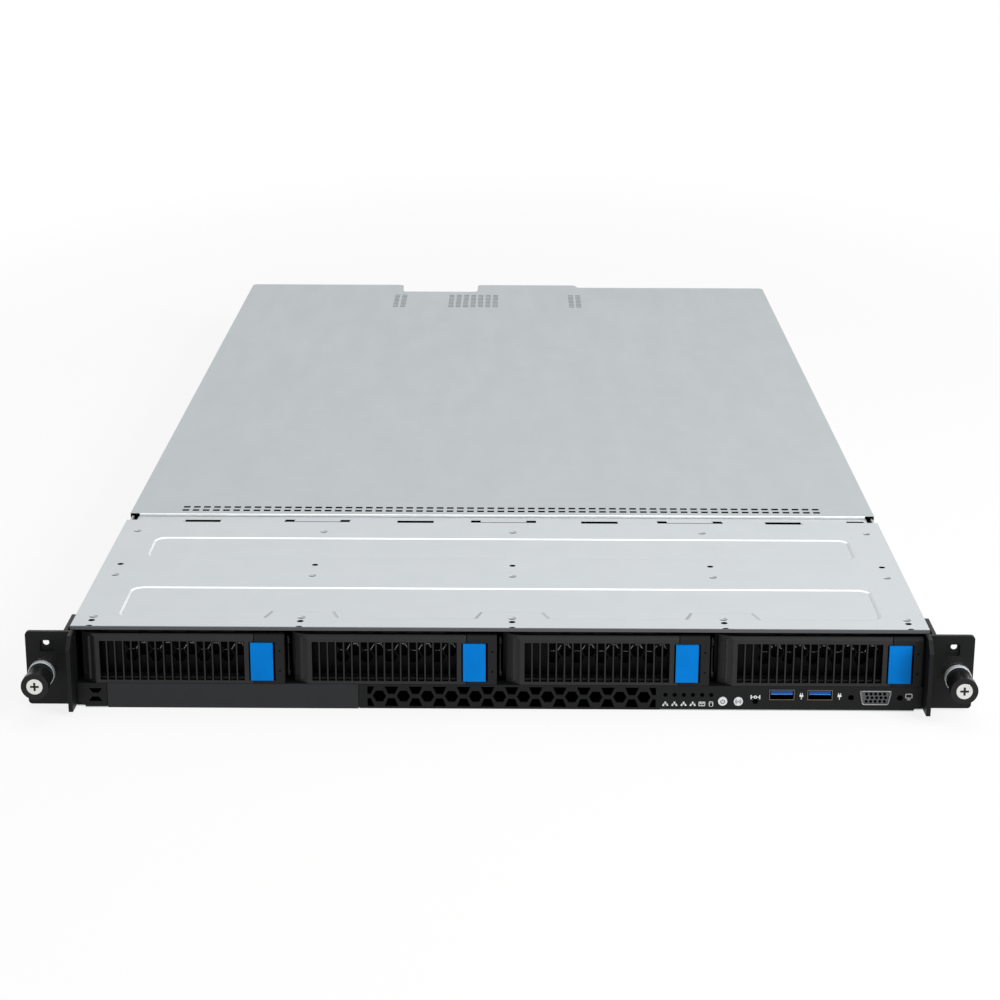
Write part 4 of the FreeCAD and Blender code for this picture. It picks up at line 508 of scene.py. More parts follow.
def stroke(start, end, width):
    """Outline of a straight stroke with square ends."""
    run, rise = end[0] - start[0], end[1] - start[1]
    length = math.hypot(run, rise)
    side = (-rise / length * width / 2, run / length * width / 2)
    return [(start[0] - side[0], start[1] - side[1]), (end[0] - side[0], end[1] - side[1]),
            (end[0] + side[0], end[1] + side[1]), (start[0] + side[0], start[1] + side[1])]


BOW_STEPS = 18


def bow(across, up, radius, width, start, end, squash=1.0):
    """Outline of a bent stroke between two angles in degrees."""
    turns = [math.radians(start + (end - start) * step / BOW_STEPS)
             for step in range(BOW_STEPS + 1)]
    outer = [polar(across, up, radius + width / 2, turn, squash) for turn in turns]
    inner = [polar(across, up, radius - width / 2, turn, squash) for turn in reversed(turns)]
    return outer + inner


def inset(loop, distance):
    """A closed outline moved inwards, with mitred corners; it runs anticlockwise."""
    moved = []
    count = len(loop)
    for index, (across, up) in enumerate(loop):
        before, after = loop[index - 1], loop[(index + 1) % count]
        first = Vector((across - before[0], up - before[1])).normalized()
        second = Vector((after[0] - across, after[1] - up)).normalized()
        side = Vector((-first.y - second.y, first.x + second.x))
        side *= distance / (side.length_squared / 2)
        moved.append((across + side.x, up + side.y))
    return moved


CORNER_STEPS = 5


def rounded(corners, radius, sharp=()):
    """An outline with round corners, bar the sharp ones; it runs anticlockwise."""
    loop = []
    count = len(corners)
    for index, corner in enumerate(corners):
        if index in sharp:
            loop.append(corner)
            continue
        here = Vector(corner)
        before = (Vector(corners[index - 1]) - here).normalized()
        after = (Vector(corners[(index + 1) % count]) - here).normalized()
        half = before.angle(after) / 2
        centre = here + (before + after).normalized() * radius / math.sin(half)
        start = here + before * radius / math.tan(half) - centre
        turn = math.pi - 2 * half
        for step in range(CORNER_STEPS + 1):
            angle = turn * step / CORNER_STEPS
            spun = Vector((start.x * math.cos(angle) - start.y * math.sin(angle),
                           start.x * math.sin(angle) + start.y * math.cos(angle)))
            loop.append(tuple(centre + spun))
    return loop


DOME_SHARES = (0.0, 0.35, 0.65, 0.88, 1.0)
DOME_TIP = 0.08


def dome(radius, height):
    """Profile of a low rounded head, as radii and heights."""
    return [(radius * math.cos(share * math.pi / 2) + DOME_TIP * radius * share,
             height * math.sin(share * math.pi / 2)) for share in DOME_SHARES]


# Pieces: HAIR and CLEAR keep a painted-shade lining off the imported wall that it covers.
HAIR = 0.02
CLEAR = 0.01


class Form:
    """A closed mesh gathered from stacked outlines, with places in millimetres."""

    def __init__(self, turn=None):
        self.mesh = bmesh.new()
        self.turn = turn

    def ring(self, loop, along, axis):
        points = []
        for across, up in loop:
            order = {"x": (along, across, up), "y": (across, along, up), "z": (across, up, along)}
            place = Vector(order[axis])
            if self.turn:
                place = self.turn @ place
            points.append(self.mesh.verts.new(place * MM))
        return points

    def skin(self, rings, closed=False):
        """Faces between rings of equal length, capped or joined end to end."""
        pairs = list(zip(rings, rings[1:]))
        if closed:
            pairs.append((rings[-1], rings[0]))
        else:
            self.mesh.faces.new(rings[0])
            self.mesh.faces.new(rings[-1])
        for near, far in pairs:
            count = len(near)
            for index in range(count):
                after = (index + 1) % count
                self.mesh.faces.new((near[index], near[after], far[after], far[index]))

    def stack(self, stations, axis="y", closed=False):
        """Skins outlines of equal length, one per station."""
        self.skin([self.ring(loop, along, axis) for loop, along in stations], closed)

    def sweep(self, sections):
        """Skins three-dimensional sections of equal length."""
        self.skin([[self.mesh.verts.new(Vector(place) * MM) for place in section]
                   for section in sections])

    def block(self, loop, low, high, axis="y"):
        self.stack([(loop, low), (loop, high)], axis)

    def bar(self, across, up, front, box):
        """A block by its distances from a place: left, base, right, top, near and far."""
        left, base, right, top, near, far = box
        self.block(square(across + left, up + base, across + right, up + top),
                   front + near, front + far)

    def frame(self, outer, inner, low, high, axis="y"):
        """A wall between two outlines."""
        self.stack([(outer, low), (outer, high), (inner, high), (inner, low)], axis, True)

    def cup(self, loop, wall, mouth, floor, back, axis="y"):
        """Lining of a hole: a thin wall inside an outline, and a floor."""
        self.frame(loop, inset(loop, wall), *sorted((mouth, floor)), axis)
        self.block(loop, *sorted((floor, back)), axis)

    def rim(self, outer, profile, base):
        """A rim along an outline, by insets and distances from a surface."""
        stations = [(inset(outer, inward), base + along) for inward, along in profile]
        self.stack(stations, closed=True)

    def turned(self, across, up, profile, base, axis="y", side=1, steps=20):
        """A round head or hole, by radii and heights from a surface."""
        self.stack([(circle(across, up, radius, steps), base + side * height)
                    for radius, height in profile], axis)

    def finish(self, name, look, body="chassis", soft=0.0):
        """Turns the gathered mesh into a piece that rides on a body."""
        bmesh.ops.recalc_face_normals(self.mesh, faces=self.mesh.faces)
        data = bpy.data.meshes.new(name)
        self.mesh.to_mesh(data)
        self.mesh.free()
        piece = bpy.data.objects.new(name, data)
        bpy.context.scene.collection.objects.link(piece)
        if look in MATERIALS:
            data.materials.append(MATERIALS[look])
        else:
            data.materials.append(SMALL[look])
        if soft:
            bevel = piece.modifiers.new("soft_edges", "BEVEL")
            bevel.width = soft * MM
            bevel.segments = 2
            bevel.limit_method = "ANGLE"
        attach(piece, body)


class Print(Form):
    """Thin marks on an upright face that looks to the front."""

    def __init__(self, face, proud=0.04, sunk=HAIR):
        super().__init__()
        self.near, self.far = face - proud, face + sunk

    def mark(self, loop):
        self.block(loop, self.near, self.far)

    def strokes(self, across, up, width, *lines):
        """Straight strokes, each by its two ends as seen from a place."""
        for left, base, right, top in lines:
            self.mark(stroke((across + left, up + base), (across + right, up + top), width))


# Printed marks: sizes are millimetres from the middle of each mark.
LINE = 0.38
NETWORK_BOXES = ((-0.45, 0.45), (-1.5, -1.15), (0.6, -1.15))
BOX_SIZE = (0.9, 0.7)
NETWORK_LINES = ((0, 0.5, 0, -0.1), (-1.2, -0.1, 1.2, -0.1),
                 (-1.05, -0.2, -1.05, -0.5), (1.05, -0.2, 1.05, -0.5))
MAIL_LINES = (*sides(-1.5, -1.0, 1.5, 1.0), (-1.5, 1.0, 0, -0.1), (1.5, 1.0, 0, -0.1))
DRUM_HALF = 0.9
DRUM_TALL = 0.95
DRUM_SQUASH = 0.45
RESET_RING = (0.62, 0.5)
RESET_DASHES = ((-0.9, 0, -2.0, 0), (0.9, 0, 2.0, 0))
RESET_BARS = ((-2.2, -1.1, -2.2, 1.1), (2.2, -1.1, 2.2, 1.1))
RESET_WIDTHS = (0.45, 0.6)
PLUG_BODY = (-0.95, -0.35, 0.95, 0.75)
PLUG_LINES = ((-0.5, 0.7, -0.5, 1.75), (0.5, 0.7, 0.5, 1.75), (0, -0.3, 0, -1.75))
PLUG_LINE = 0.36
SCREEN_LINES = (*sides(-1.6, -0.5, 1.6, 1.6), (-0.9, -1.45, 0.9, -1.45))
SCREEN_STEM = (0, -0.5, 0, -1.4)
STEM_LINE = 0.4


def network_mark(printed, across, up):
    """Three boxes joined by a branching line."""
    wide, tall = BOX_SIZE
    for left, base in NETWORK_BOXES:
        printed.mark(square(across + left, up + base, across + left + wide, up + base + tall))
    printed.strokes(across, up, LINE, *NETWORK_LINES)


def drive_mark(printed, across, up):
    """A drum: a flat ring, two sides and a bowed foot."""
    for height, start in ((DRUM_TALL, 0), (DRUM_TALL, 180), (-DRUM_TALL, 180)):
        printed.mark(bow(across, up + height, DRUM_HALF, LINE, start, start + 180, DRUM_SQUASH))
    for side in (-DRUM_HALF, DRUM_HALF):
        printed.strokes(across, up, LINE, (side, DRUM_TALL, side, -DRUM_TALL))


def reset_mark(printed, across, up):
    """A small ring between two bars, with a dash on each side."""
    for start in (0, 180):
        printed.mark(bow(across, up, *RESET_RING, start, start + 180))
    printed.strokes(across, up, RESET_WIDTHS[0], *RESET_DASHES)
    printed.strokes(across, up, RESET_WIDTHS[1], *RESET_BARS)


def plug_mark(printed, across, up):
    """A plug seen from the side: two prongs, a body and its lead."""
    left, base, right, top = PLUG_BODY
    printed.mark(square(across + left, up + base, across + right, up + top))
    printed.strokes(across, up, PLUG_LINE, *PLUG_LINES)


def screen_mark(printed, across, up):
    """A screen on its foot."""
    printed.strokes(across, up, LINE, *SCREEN_LINES)
    printed.strokes(across, up, STEM_LINE, SCREEN_STEM)


LAMPS = 6
PIPE_HALF = 0.7
PIPE_RING = 1.1
RING_DEEP = 0.1
LAMP_MARK_DROP = 4.9
RESET_LIFT = 0.4
USB_MARK_PLACE = (10.0, -0.7)
VGA_MARK_PLACE = (17.0, -0.9)


def lamp_places():
    """Places across of the light pipes, and their height."""
    low, high = box_mm("light_pipes")
    first, last = low[0] + PIPE_HALF, high[0] - PIPE_HALF
    places = [first + (last - first) * index / (LAMPS - 1) for index in range(LAMPS)]
    return places, high[2] - PIPE_HALF


def usb_places():
    """Places across of the two USB sockets."""
    low, high = box_mm("usb_ports")
    return low[0] + USB_HALF, high[0] - USB_HALF


def panel_marks():
    """White symbols beside the lamps, buttons and sockets of the lower panel."""
    printed = Print(box_mm("lower_panel")[0][1])
    places, height = lamp_places()
    row = height - LAMP_MARK_DROP
    for across in places[:4]:
        network_mark(printed, across, row)
    printed.strokes(places[4], row, LINE, *MAIL_LINES)
    drive_mark(printed, places[5], row)
    reset_mark(printed, middle("reset_button")[0], middle("usb_ports")[2] + RESET_LIFT)
    for across in usb_places():
        plug_mark(printed, across + USB_MARK_PLACE[0], USB_HEIGHT + USB_MARK_PLACE[1])
    screen_mark(printed, middle("vga_port")[0] + VGA_MARK_PLACE[0], USB_HEIGHT + VGA_MARK_PLACE[1])
    printed.finish("panel_marks", "ink_white")


def pipe_ring_shades():
    """Painted shade in the countersink round each light pipe."""
    face = box_mm("lower_panel")[0][1]
    places, height = lamp_places()
    form = Form()
    for across in places:
        form.frame(circle(across, height, PIPE_RING), circle(across, height, PIPE_HALF + HAIR),
                   face - HAIR, face + RING_DEEP)
    form.finish("pipe_ring_shades", "liner_black")


# The ring: radius, width, start and end in degrees.
POWER_DROP = 0.1
POWER_RING = (1.0, 0.46, 125, 415)
POWER_BAR = (0, 0.1, 0, 1.3)
POWER_LINE = 0.42


def power_mark():
    """Open ring and bar on the power button."""
    across, _, up = middle("power_button")
    printed = Print(box_mm("power_button")[0][1])
    printed.mark(bow(across, up - POWER_DROP, *POWER_RING))
    printed.strokes(across, up, POWER_LINE, POWER_BAR)
    printed.finish("power_mark", "ink_grey", "power_button")


LOCATOR_DOT = 0.34
LOCATOR_WAVES = (0.85, 1.45)
WAVE_LINE = 0.3
WAVE_STARTS = (-55, 125)
WAVE_SPAN = 110


def locator_mark():
    """A dot with two waves, the sign for finding a unit in its rack."""
    across, _, up = middle("locator_button")
    printed = Print(box_mm("locator_button")[0][1])
    printed.mark(circle(across, up, LOCATOR_DOT))
    for radius in LOCATOR_WAVES:
        for start in WAVE_STARTS:
            printed.mark(bow(across, up, radius, WAVE_LINE, start, start + WAVE_SPAN))
    printed.finish("locator_mark", "ink_grey", "locator_button")


# Sockets: boxes are left, base, right, top, near and far from the middle of a socket's mouth.
USB_HEIGHT = 8.7
USB_HALF = 6.5
USB_MOUTH = (6.1, 2.45)
USB_SHADE_WALL = 0.15
USB_DEPTHS = (0.3, 12.4, 12.7)
USB_SLEEVE = (-5.65, 0.0, 5.65, 2.1, 0.4, 12.0)
USB_FOOT = (-5.5, 0.05, 5.5, 0.45, 0.32, 0.6)
USB_CONTACT = (-0.45, -0.25, 0.45, 0.01, 1.2, 10.0)
CONTACT_PITCH = 2.4


def usb_details():
    """Blue sleeve over each tongue, a painted highlight along its foot, its contacts and painted
    shade (black) inside each shell.
    """
    front = box_mm("usb_ports")[0][1]
    half, tall = USB_MOUTH
    for number, across in enumerate(usb_places(), 1):
        mouth = square(across - half, USB_HEIGHT - tall, across + half, USB_HEIGHT + tall)
        # Painted shade: a black cup inside the shell.
        liner = Form()
        liner.cup(mouth, USB_SHADE_WALL, *(front + depth for depth in USB_DEPTHS))
        liner.finish(f"usb_shade_{number}", "liner_black")
        sleeve = Form()
        sleeve.bar(across, USB_HEIGHT, front, USB_SLEEVE)
        sleeve.finish(f"usb_tongue_{number}", "tongue_blue", soft=0.2)
        # Painted highlight along the tongue's foot.
        foot = Form()
        foot.bar(across, USB_HEIGHT, front, USB_FOOT)
        foot.finish(f"usb_tongue_foot_{number}", "tongue_light", soft=0.05)
        contacts = Form()
        for step in (-1.5, -0.5, 0.5, 1.5):
            contacts.bar(across + step * CONTACT_PITCH, USB_HEIGHT, front, USB_CONTACT)
        contacts.finish(f"usb_contacts_{number}", "contact_gold", soft=0.06)


VGA_HEIGHT = 7.3
VGA_SHAPE = ((-6.7, -3.9), (6.7, -3.9), (8.3, 3.9), (-8.3, 3.9))
VGA_CORNER = 1.4
VGA_RIM = ((0, 1.2), (0, -0.3), (0.25, -0.45), (0.55, -0.3), (0.55, 1.2))
VGA_FACE = (0.57, 0.2, 0.9)
VGA_PIN_PITCH = 2.3
VGA_ROW_PITCH = 2.0
VGA_PIN_HOLE = ((0.82, 0.3), (0.82, 0.12), (0.6, 0.12), (0.5, 0.14))
VGA_SCREW_SPAN = 25.0
VGA_SCREW_HOLE = 1.42
VGA_SCREW_DEPTHS = (0.3, 1.4, 1.48)
HOLE_SHADE_WALL = 0.12


def vga_details():
    """Plated D-shaped rim, the grey face inside it, and painted shade (black) in the fifteen pin
    holes and two screw holes.
    """
    across = middle("vga_port")[0]
    front = box_mm("vga_port")[0][1]
    outline = rounded([(across + side, VGA_HEIGHT + up) for side, up in VGA_SHAPE], VGA_CORNER)
    rim = Form()
    rim.rim(outline, VGA_RIM, front)
    rim.finish("vga_rim", "rim_steel")
    plate = Form()
    plate.block(inset(outline, VGA_FACE[0]), front + VGA_FACE[1], front + VGA_FACE[2])
    plate.finish("vga_face", "socket_grey", soft=0.1)
    # Painted shade: black plugs in the pin holes.
    pins = Form()
    for row, shift in ((-1, 0.0), (0, VGA_PIN_PITCH / 4), (1, 0.0)):
        for column in (-2, -1, 0, 1, 2):
            pins.turned(across + column * VGA_PIN_PITCH + shift, VGA_HEIGHT + row * VGA_ROW_PITCH,
                        VGA_PIN_HOLE, front, steps=14)
    pins.finish("vga_pin_holes", "liner_black")
    # Painted shade: black cups in the screw holes.
    holes = Form()
    for side in (-1, 1):
        loop = circle(across + side * VGA_SCREW_SPAN / 2, VGA_HEIGHT, VGA_SCREW_HOLE)
        holes.cup(loop, HOLE_SHADE_WALL, *(front + depth for depth in VGA_SCREW_DEPTHS))
    holes.finish("vga_screw_holes", "liner_black")


# Front cover
EMBOSS_DEEP = 0.4
SLOPE_RUN = 1.5
NOTCH_RUN = 1.9
EMBOSS_INSET = 21.7
EMBOSS_CORNER = 7.0
REAR_PANEL = (108.2, 144.7)
FRONT_PANEL = (12.2, 59.7)
NOTCH = ((-18.0, 0.0), (-15.0, 9.2), (15.0, 9.2), (18.0, 0.0))
# Points of the outline that catch the light at its end, the first dim one, and those at which
# the slanted sides of the notches start.
LIT_POINTS = 11
DIM_FIRST = 2
NOTCH_SLOPES = (6, 8, 10, 12, 14, 16)


def emboss_slopes():
    """Sloped pressing edges of the two sunk panels, with painted highlights on the left and rear
    slopes and painted shade on the notch slopes.
    """
    half = box_mm("front_cover")[1][0] - EMBOSS_INSET
    near, far = FRONT_PANEL
    rear = rounded(square(-half, REAR_PANEL[0], half, REAR_PANEL[1]), EMBOSS_CORNER)
    notches = [(column + across, near + along) for column in inner_columns()
               for across, along in NOTCH]
    corners = [(-half, near), *notches, (half, near), (half, far), (-half, far)]
    front = rounded(corners, EMBOSS_CORNER, sharp=range(1, len(notches) + 1))
    floor = COVER_TOP - EMBOSS_DEEP - HAIR
    for name, loop, slopes in (("rear", rear, ()), ("front", front, NOTCH_SLOPES)):
        pairs = list(zip(loop, inset(loop, SLOPE_RUN)))
        wide = list(zip(loop, inset(loop, NOTCH_RUN)))
        last = len(pairs) - LIT_POINTS
        cuts = [slope + 1 for slope in slopes]
        dim = [pairs[start:end] for start, end in zip([DIM_FIRST, *cuts], [*cuts, last + 1])]
        # Painted highlight on the far and left slopes, painted shade on the notch slopes.
        shares = [("far", "edge_bright", [pairs[last:]]),
                  ("left", "edge_soft", [pairs[-1:] + pairs[:DIM_FIRST + 1]]),
                  ("dim", "front_cover_steel", dim)]
        if slopes:
            shares.append(("notch", "edge_grey", [wide[slope:slope + 2] for slope in slopes]))
        for share, look, parts in shares:
            form = Form()
            for part in parts:
                form.sweep([((*outer, COVER_TOP), (*outer, floor), (*inner, floor))
                            for outer, inner in part])
            form.finish(f"cover_press_edge_{name}_{share}", look)


DIMPLE_LINES = (13.0, 79.0, 156.0)
DIMPLE_REACH = 2.06
DIMPLE_DEEP = 0.3
MOON_TURNS = [math.radians(190 + 16 * step) for step in range(11)]
MOON_SQUASH = 0.3
MOON_SHIFT = 0.1


def dimple_shades():
    """Shaded near rim of each round press mark of the front cover."""
    form = Form()
    for across in hole_columns():
        for line in DIMPLE_LINES:
            moon = [polar(across, line, DIMPLE_REACH, turn) for turn in MOON_TURNS]
            moon += [polar(across, line - MOON_SHIFT, DIMPLE_REACH, turn, MOON_SQUASH)
                     for turn in reversed(MOON_TURNS[1:-1])]
            form.block(moon, COVER_TOP - DIMPLE_DEEP, COVER_TOP - CLEAR, "z")
    form.finish("cover_dimple_shades", "shade_grey")


HOLE_LINES = (7.4, 96.7)
HOLE_RADIUS = 1.7
HOLE_FLOOR = 0.9
HOLE_BACK = 0.98
COVER_EDGE = -1.1
NOTCH_TOP = 0.1
HALF_TURN = [math.radians(18 * step) for step in range(11)]


def cover_hole_shades():
    """Painted shade: black walls and floors in the round holes and edge notches of the front
    cover.
    """
    form = Form()
    for across in hole_columns():
        for line in HOLE_LINES:
            form.cup(circle(across, line, HOLE_RADIUS - HAIR), HOLE_SHADE_WALL,
                     COVER_TOP - HAIR, COVER_TOP - HOLE_FLOOR, COVER_TOP - HOLE_BACK, "z")
        notch = [(across + (HOLE_RADIUS - HAIR) * math.cos(turn),
                  COVER_EDGE + HAIR + (HOLE_RADIUS - 2 * HAIR) * math.sin(turn))
                 for turn in HALF_TURN]
        form.block(notch, COVER_TOP - HOLE_BACK, COVER_TOP - NOTCH_TOP, "z")
    form.finish("cover_hole_shades", "liner_black")


BEND_HALF = 10.7
BEND_SLOTS = (-174.2, -50.3, 56.8, 163.6)
BEND_FRONT = 173.2
BEND_REAR = 182.5
BEND_SHADE_WALL = 0.15
BEND_TALL = 0.98
BEND_FLOOR = 0.05
STRIP_BASE = 41.3
LANCE_LINE = 174.8
LANCE_WIDE = 0.8
LANCE_DEEP = 0.9
LANCE_HALF = 18.9
LANCE_SHIFT = 2.2
MOUTH_LONG = 5.6
MOUTH_FRONT = 174.1
MOUTH_REAR = 176.65
MARK_DEEP = 0.1
STRIP_LINE = 181.6
STRIP_MOUTH = 1.8
END_GAP = (201.2, STRIP_LINE, 211.2, 184.4)
JOGGLE_TOP = 42.3


def joint_gaps():
    """Painted shade: black floors in the slots of the fold, on the lances' mouths and in the gap
    at the right end.
    """
    form = Form()

    def paint(left, near, right, far, top):
        """A painted-shade mark that lies a hair above the sheet."""
        form.block(square(left, near, right, far), top - MARK_DEEP, top + HAIR, "z")

    for centre in BEND_SLOTS:
        left, right = centre - BEND_HALF + HAIR, centre + BEND_HALF - HAIR
        form.block(square(left, BEND_REAR - BEND_SHADE_WALL, right, BEND_REAR - CLEAR),
                   STRIP_BASE, STRIP_BASE + BEND_TALL, "z")
        form.block(square(left, BEND_FRONT, right, BEND_REAR - BEND_SHADE_WALL - BEND_FLOOR),
                   STRIP_BASE, STRIP_BASE + BEND_FLOOR, "z")
    for number in INNER_TRAYS:
        centre = bay_left(number) - LANCE_SHIFT
        form.block(square(centre - LANCE_HALF, LANCE_LINE - LANCE_WIDE, centre + LANCE_HALF,
                          LANCE_LINE - CLEAR), COVER_TOP - LANCE_DEEP, COVER_TOP + HAIR, "z")
        for side in (-1, 1):
            end = centre + side * LANCE_HALF
            left, right = sorted((end, end - side * MOUTH_LONG))
            paint(left, MOUTH_FRONT, right, MOUTH_REAR, COVER_TOP)
            paint(left, STRIP_LINE, right, STRIP_LINE + STRIP_MOUTH, JOGGLE_TOP)
    paint(*END_GAP, JOGGLE_TOP)
    form.finish("cover_joint_gap_shades", "liner_black")


RAIL_INSET = 0.1


def rail_ends():
    """Ends of the black rail, which reach the corners of the front cover."""
    low, high = box_mm("front_cover")
    rail_low, rail_high = box_mm("front_top_rail")
    form = Form()
    for left, right in ((low[0] + RAIL_INSET, rail_low[0]),
                        (rail_high[0], high[0] - RAIL_INSET)):
        form.block(square(left, rail_low[2], right, rail_high[2]), rail_low[1], low[1] - HAIR)
    form.finish("rail_ends", "black_panel")


# Trays and dividers
WEDGE_RUN = 7.2
WEDGE_DROP = 4.7
WEDGE_ENDS = (1.0, 0.4)
WEDGE_GAPS = (2.6, 1.6, 2.4, 3.0)
WEDGE_RIM = ((0, -0.1), (0, 0.06), (0.25, 0.12), (0.5, 0.06), (0.5, -0.1))


def wedge_frames():
    """Raised frame on the slanted end of each lever."""
    slant = math.hypot(WEDGE_RUN, WEDGE_DROP)
    ahead = Vector((WEDGE_RUN / slant, -WEDGE_DROP / slant, 0))
    out = Vector((-WEDGE_DROP / slant, -WEDGE_RUN / slant, 0))
    near, far = WEDGE_ENDS[0], slant - WEDGE_ENDS[1]
    near_base, far_base, far_top, near_top = WEDGE_GAPS
    for number in TRAYS:
        low, high = box_mm(f"lever_{number}")
        turn = Matrix((ahead, out, Vector((0, 0, 1)))).transposed().to_4x4()
        turn.translation = (low[0], low[1] + WEDGE_DROP, 0)
        form = Form(turn)
        form.rim([(near, low[2] + near_base), (far, low[2] + far_base),
                  (far, high[2] - far_top), (near, high[2] - near_top)], WEDGE_RIM, 0)
        form.finish(f"wedge_frame_{number}", "lever_plastic", f"lever_{number}")


SLOT_FIRST = 9.8
SLOT_PITCH = 4.14
SLOT_WIDE = 3.1
SLOT_BASE = 15.3
SLOT_TALL = 20.8
SLOT_COUNT = 18
SLOT_SHADE_WALL = 0.08
SLOT_START = 0.3
SLOT_EDGE = 0.17
EDGE_DEEP = 0.05
FACE_THICK = 1.8


def slot_shades():
    """Painted shade: black walls behind the front face of each lever's slots, and dark rims on
    their broken edges.
    """
    for number in TRAYS:
        face = box_mm(f"lever_{number}")[0][1]
        form = Form()
        for index in range(SLOT_COUNT):
            left = bay_left(number) + SLOT_FIRST + index * SLOT_PITCH
            wall = square(left + CLEAR, SLOT_BASE + CLEAR, left + SLOT_WIDE - CLEAR,
                          SLOT_BASE + SLOT_TALL - CLEAR)
            form.frame(wall, inset(wall, SLOT_SHADE_WALL), face + SLOT_START,
                       face + FACE_THICK - HAIR)
            form.frame(inset(wall, -SLOT_EDGE), wall, face - HAIR, face + EDGE_DEEP)
        form.finish(f"slot_shades_{number}", "liner_black", f"lever_{number}")


LATCH_GAPS = (0.8, 1.1)
GAP_TALLER = 0.1
GAP_DEEP = 0.25


def latch_gaps():
    """Painted shade in the gap on both sides of each blue latch."""
    for number in TRAYS:
        low, high = box_mm(f"latch_{number}")
        for owner, left, right in (("lever", low[0] - LATCH_GAPS[0], low[0] - HAIR),
                                   ("tray", high[0] + HAIR, high[0] + LATCH_GAPS[1])):
            face = box_mm(f"{owner}_{number}")[0][1]
            form = Form()
            form.block(square(left, low[2] - GAP_TALLER, right, high[2] + GAP_TALLER),
                       face - HAIR, face + GAP_DEEP)
            form.finish(f"latch_gap_shade_{owner}_{number}", "liner_black", f"{owner}_{number}")


GRID_FIRST = 24.5
GRID_PITCH = 12.3
GRID_COUNT = 5
GRID_ROW = 31.5
GRID_SETBACK = 11.0
# Ends and width of each bright stroke, from the first corner of its cell.
GLINTS = ((2.2, -3.3, 3.9, -0.4, 0.5), (5.2, 0, 7.4, 0, 0.6), (7.4, 0, 8.1, 0.9, 0.5),
          (7.4, 0, 8.6, -2.0, 0.5), (-1.4, -3.55, 1.3, -3.55, 0.25))
GLINT_PROUD = 0.06
GLINT_SUNK = 0.05


def grid_glints():
    """Painted glints where the webs of each tray's vent plate meet."""
    for number in TRAYS:
        plate = box_mm(f"tray_{number}")[0][1] + GRID_SETBACK
        painted_glints = Print(plate, GLINT_PROUD, GLINT_SUNK)
        for index in range(GRID_COUNT):
            across = bay_left(number) + GRID_FIRST + index * GRID_PITCH
            for *ends, width in GLINTS:
                painted_glints.strokes(across, GRID_ROW, width, ends)
        painted_glints.finish(f"grid_glints_{number}", "glint_grey", f"tray_{number}")


DIVIDER_SHIFT = 2.85
DIVIDER_HALF = 0.4
SPRING_OUTLINE = [(3.0, 15.2), (4.6, 14.4), (12.3, 14.4), (12.3, 38.6), (4.6, 38.6), (3.0, 37.6),
                  (2.2, 35.4), (3.0, 33.0), (3.6, 29.0), (3.6, 24.0), (3.0, 20.5), (2.2, 18.2)]
BEAD_BASES = (17.0, 34.2)
# Depth, radius and lift of each ring of a bead.
BEAD_RINGS = ((3.4, 0.5, -1.6), (3.2, 1.15, -0.4), (3.2, 1.15, 1.4), (3.4, 0.5, 2.6))


def divider_springs():
    """Spring finger that reaches forward from each divider between two trays."""
    for number in INNER_TRAYS:
        line = bay_left(number) - DIVIDER_SHIFT
        form = Form()
        form.block(SPRING_OUTLINE, line - DIVIDER_HALF, line + DIVIDER_HALF, "x")
        for base in BEAD_BASES:
            form.stack([(circle(line, depth, radius, 12), base + lift)
                        for depth, radius, lift in BEAD_RINGS], "z")
        form.finish(f"divider_spring_{number - 1}", "spring_dark", soft=0.1)


# Captive screws
KNOB_RIBS = 28
RIB_REACH = (5.9, 6.28)
RIB_WIDE = 0.5
RIB_NEAR = 5.2
RIB_FAR = 1.0
SLEEVE_RADIUS = 6.8
SLEEVE_BORE = 6.35
SLEEVE_LONG = 3.0
CHAMFER = (0.2, 0.3)
SLEEVE_SUNK = 0.05
SLEEVE_STEPS = 48


def knob_ribs():
    """Grip ribs round each captive screw's knob."""
    inner, outer = RIB_REACH
    for side in ("left", "right"):
        low, high = box_mm(f"thumbscrew_knob_{side}")
        across, _, up = middle(f"thumbscrew_knob_{side}")
        form = Form()
        for index in range(KNOB_RIBS):
            turn = math.tau * index / KNOB_RIBS
            rib = stroke(polar(across, up, inner, turn), polar(across, up, outer, turn), RIB_WIDE)
            form.block(rib, low[1] + RIB_NEAR, high[1] - RIB_FAR)
        form.finish(f"knob_ribs_{side}", "knob_black", f"knob_{side}")


def collar_sleeves():
    """Bright sleeve of each collar, in which the knob's barrel runs."""
    back = box_mm("thumbscrew_collars")[0][1] + SLEEVE_SUNK
    front = back - SLEEVE_SUNK - SLEEVE_LONG
    inward, along = CHAMFER
    for side in ("left", "right"):
        across, _, up = middle(f"thumbscrew_knob_{side}")
        outer = circle(across, up, SLEEVE_RADIUS, SLEEVE_STEPS)
        bore = circle(across, up, SLEEVE_BORE, SLEEVE_STEPS)
        form = Form()
        form.stack([(outer, back), (outer, front + along), (inset(outer, inward), front),
                    (bore, front), (bore, back)], closed=True)
        form.finish(f"collar_sleeve_{side}", "front_cover_steel")


CROSS_HALF = (2.15, 0.5)
CROSS_START = 0.35
CROSS_STAGGER = 0.1
CROSS_FLOOR = 1.25


def cross_shades():
    """Dark floor of the cross recess in each captive screw, its two bars a little apart."""
    for side in ("left", "right"):
        face = box_mm(f"captive_screw_{side}")[0][1]
        across, _, up = middle(f"captive_screw_{side}")
        form = Form()
        for wide, tall in (CROSS_HALF, CROSS_HALF[::-1]):
            form.block(square(across - wide, up - tall, across + wide, up + tall),
                       face + CROSS_START + CROSS_STAGGER * wide, face + CROSS_FLOOR)
        form.finish(f"cross_shade_{side}", "shade_grey", f"knob_{side}")


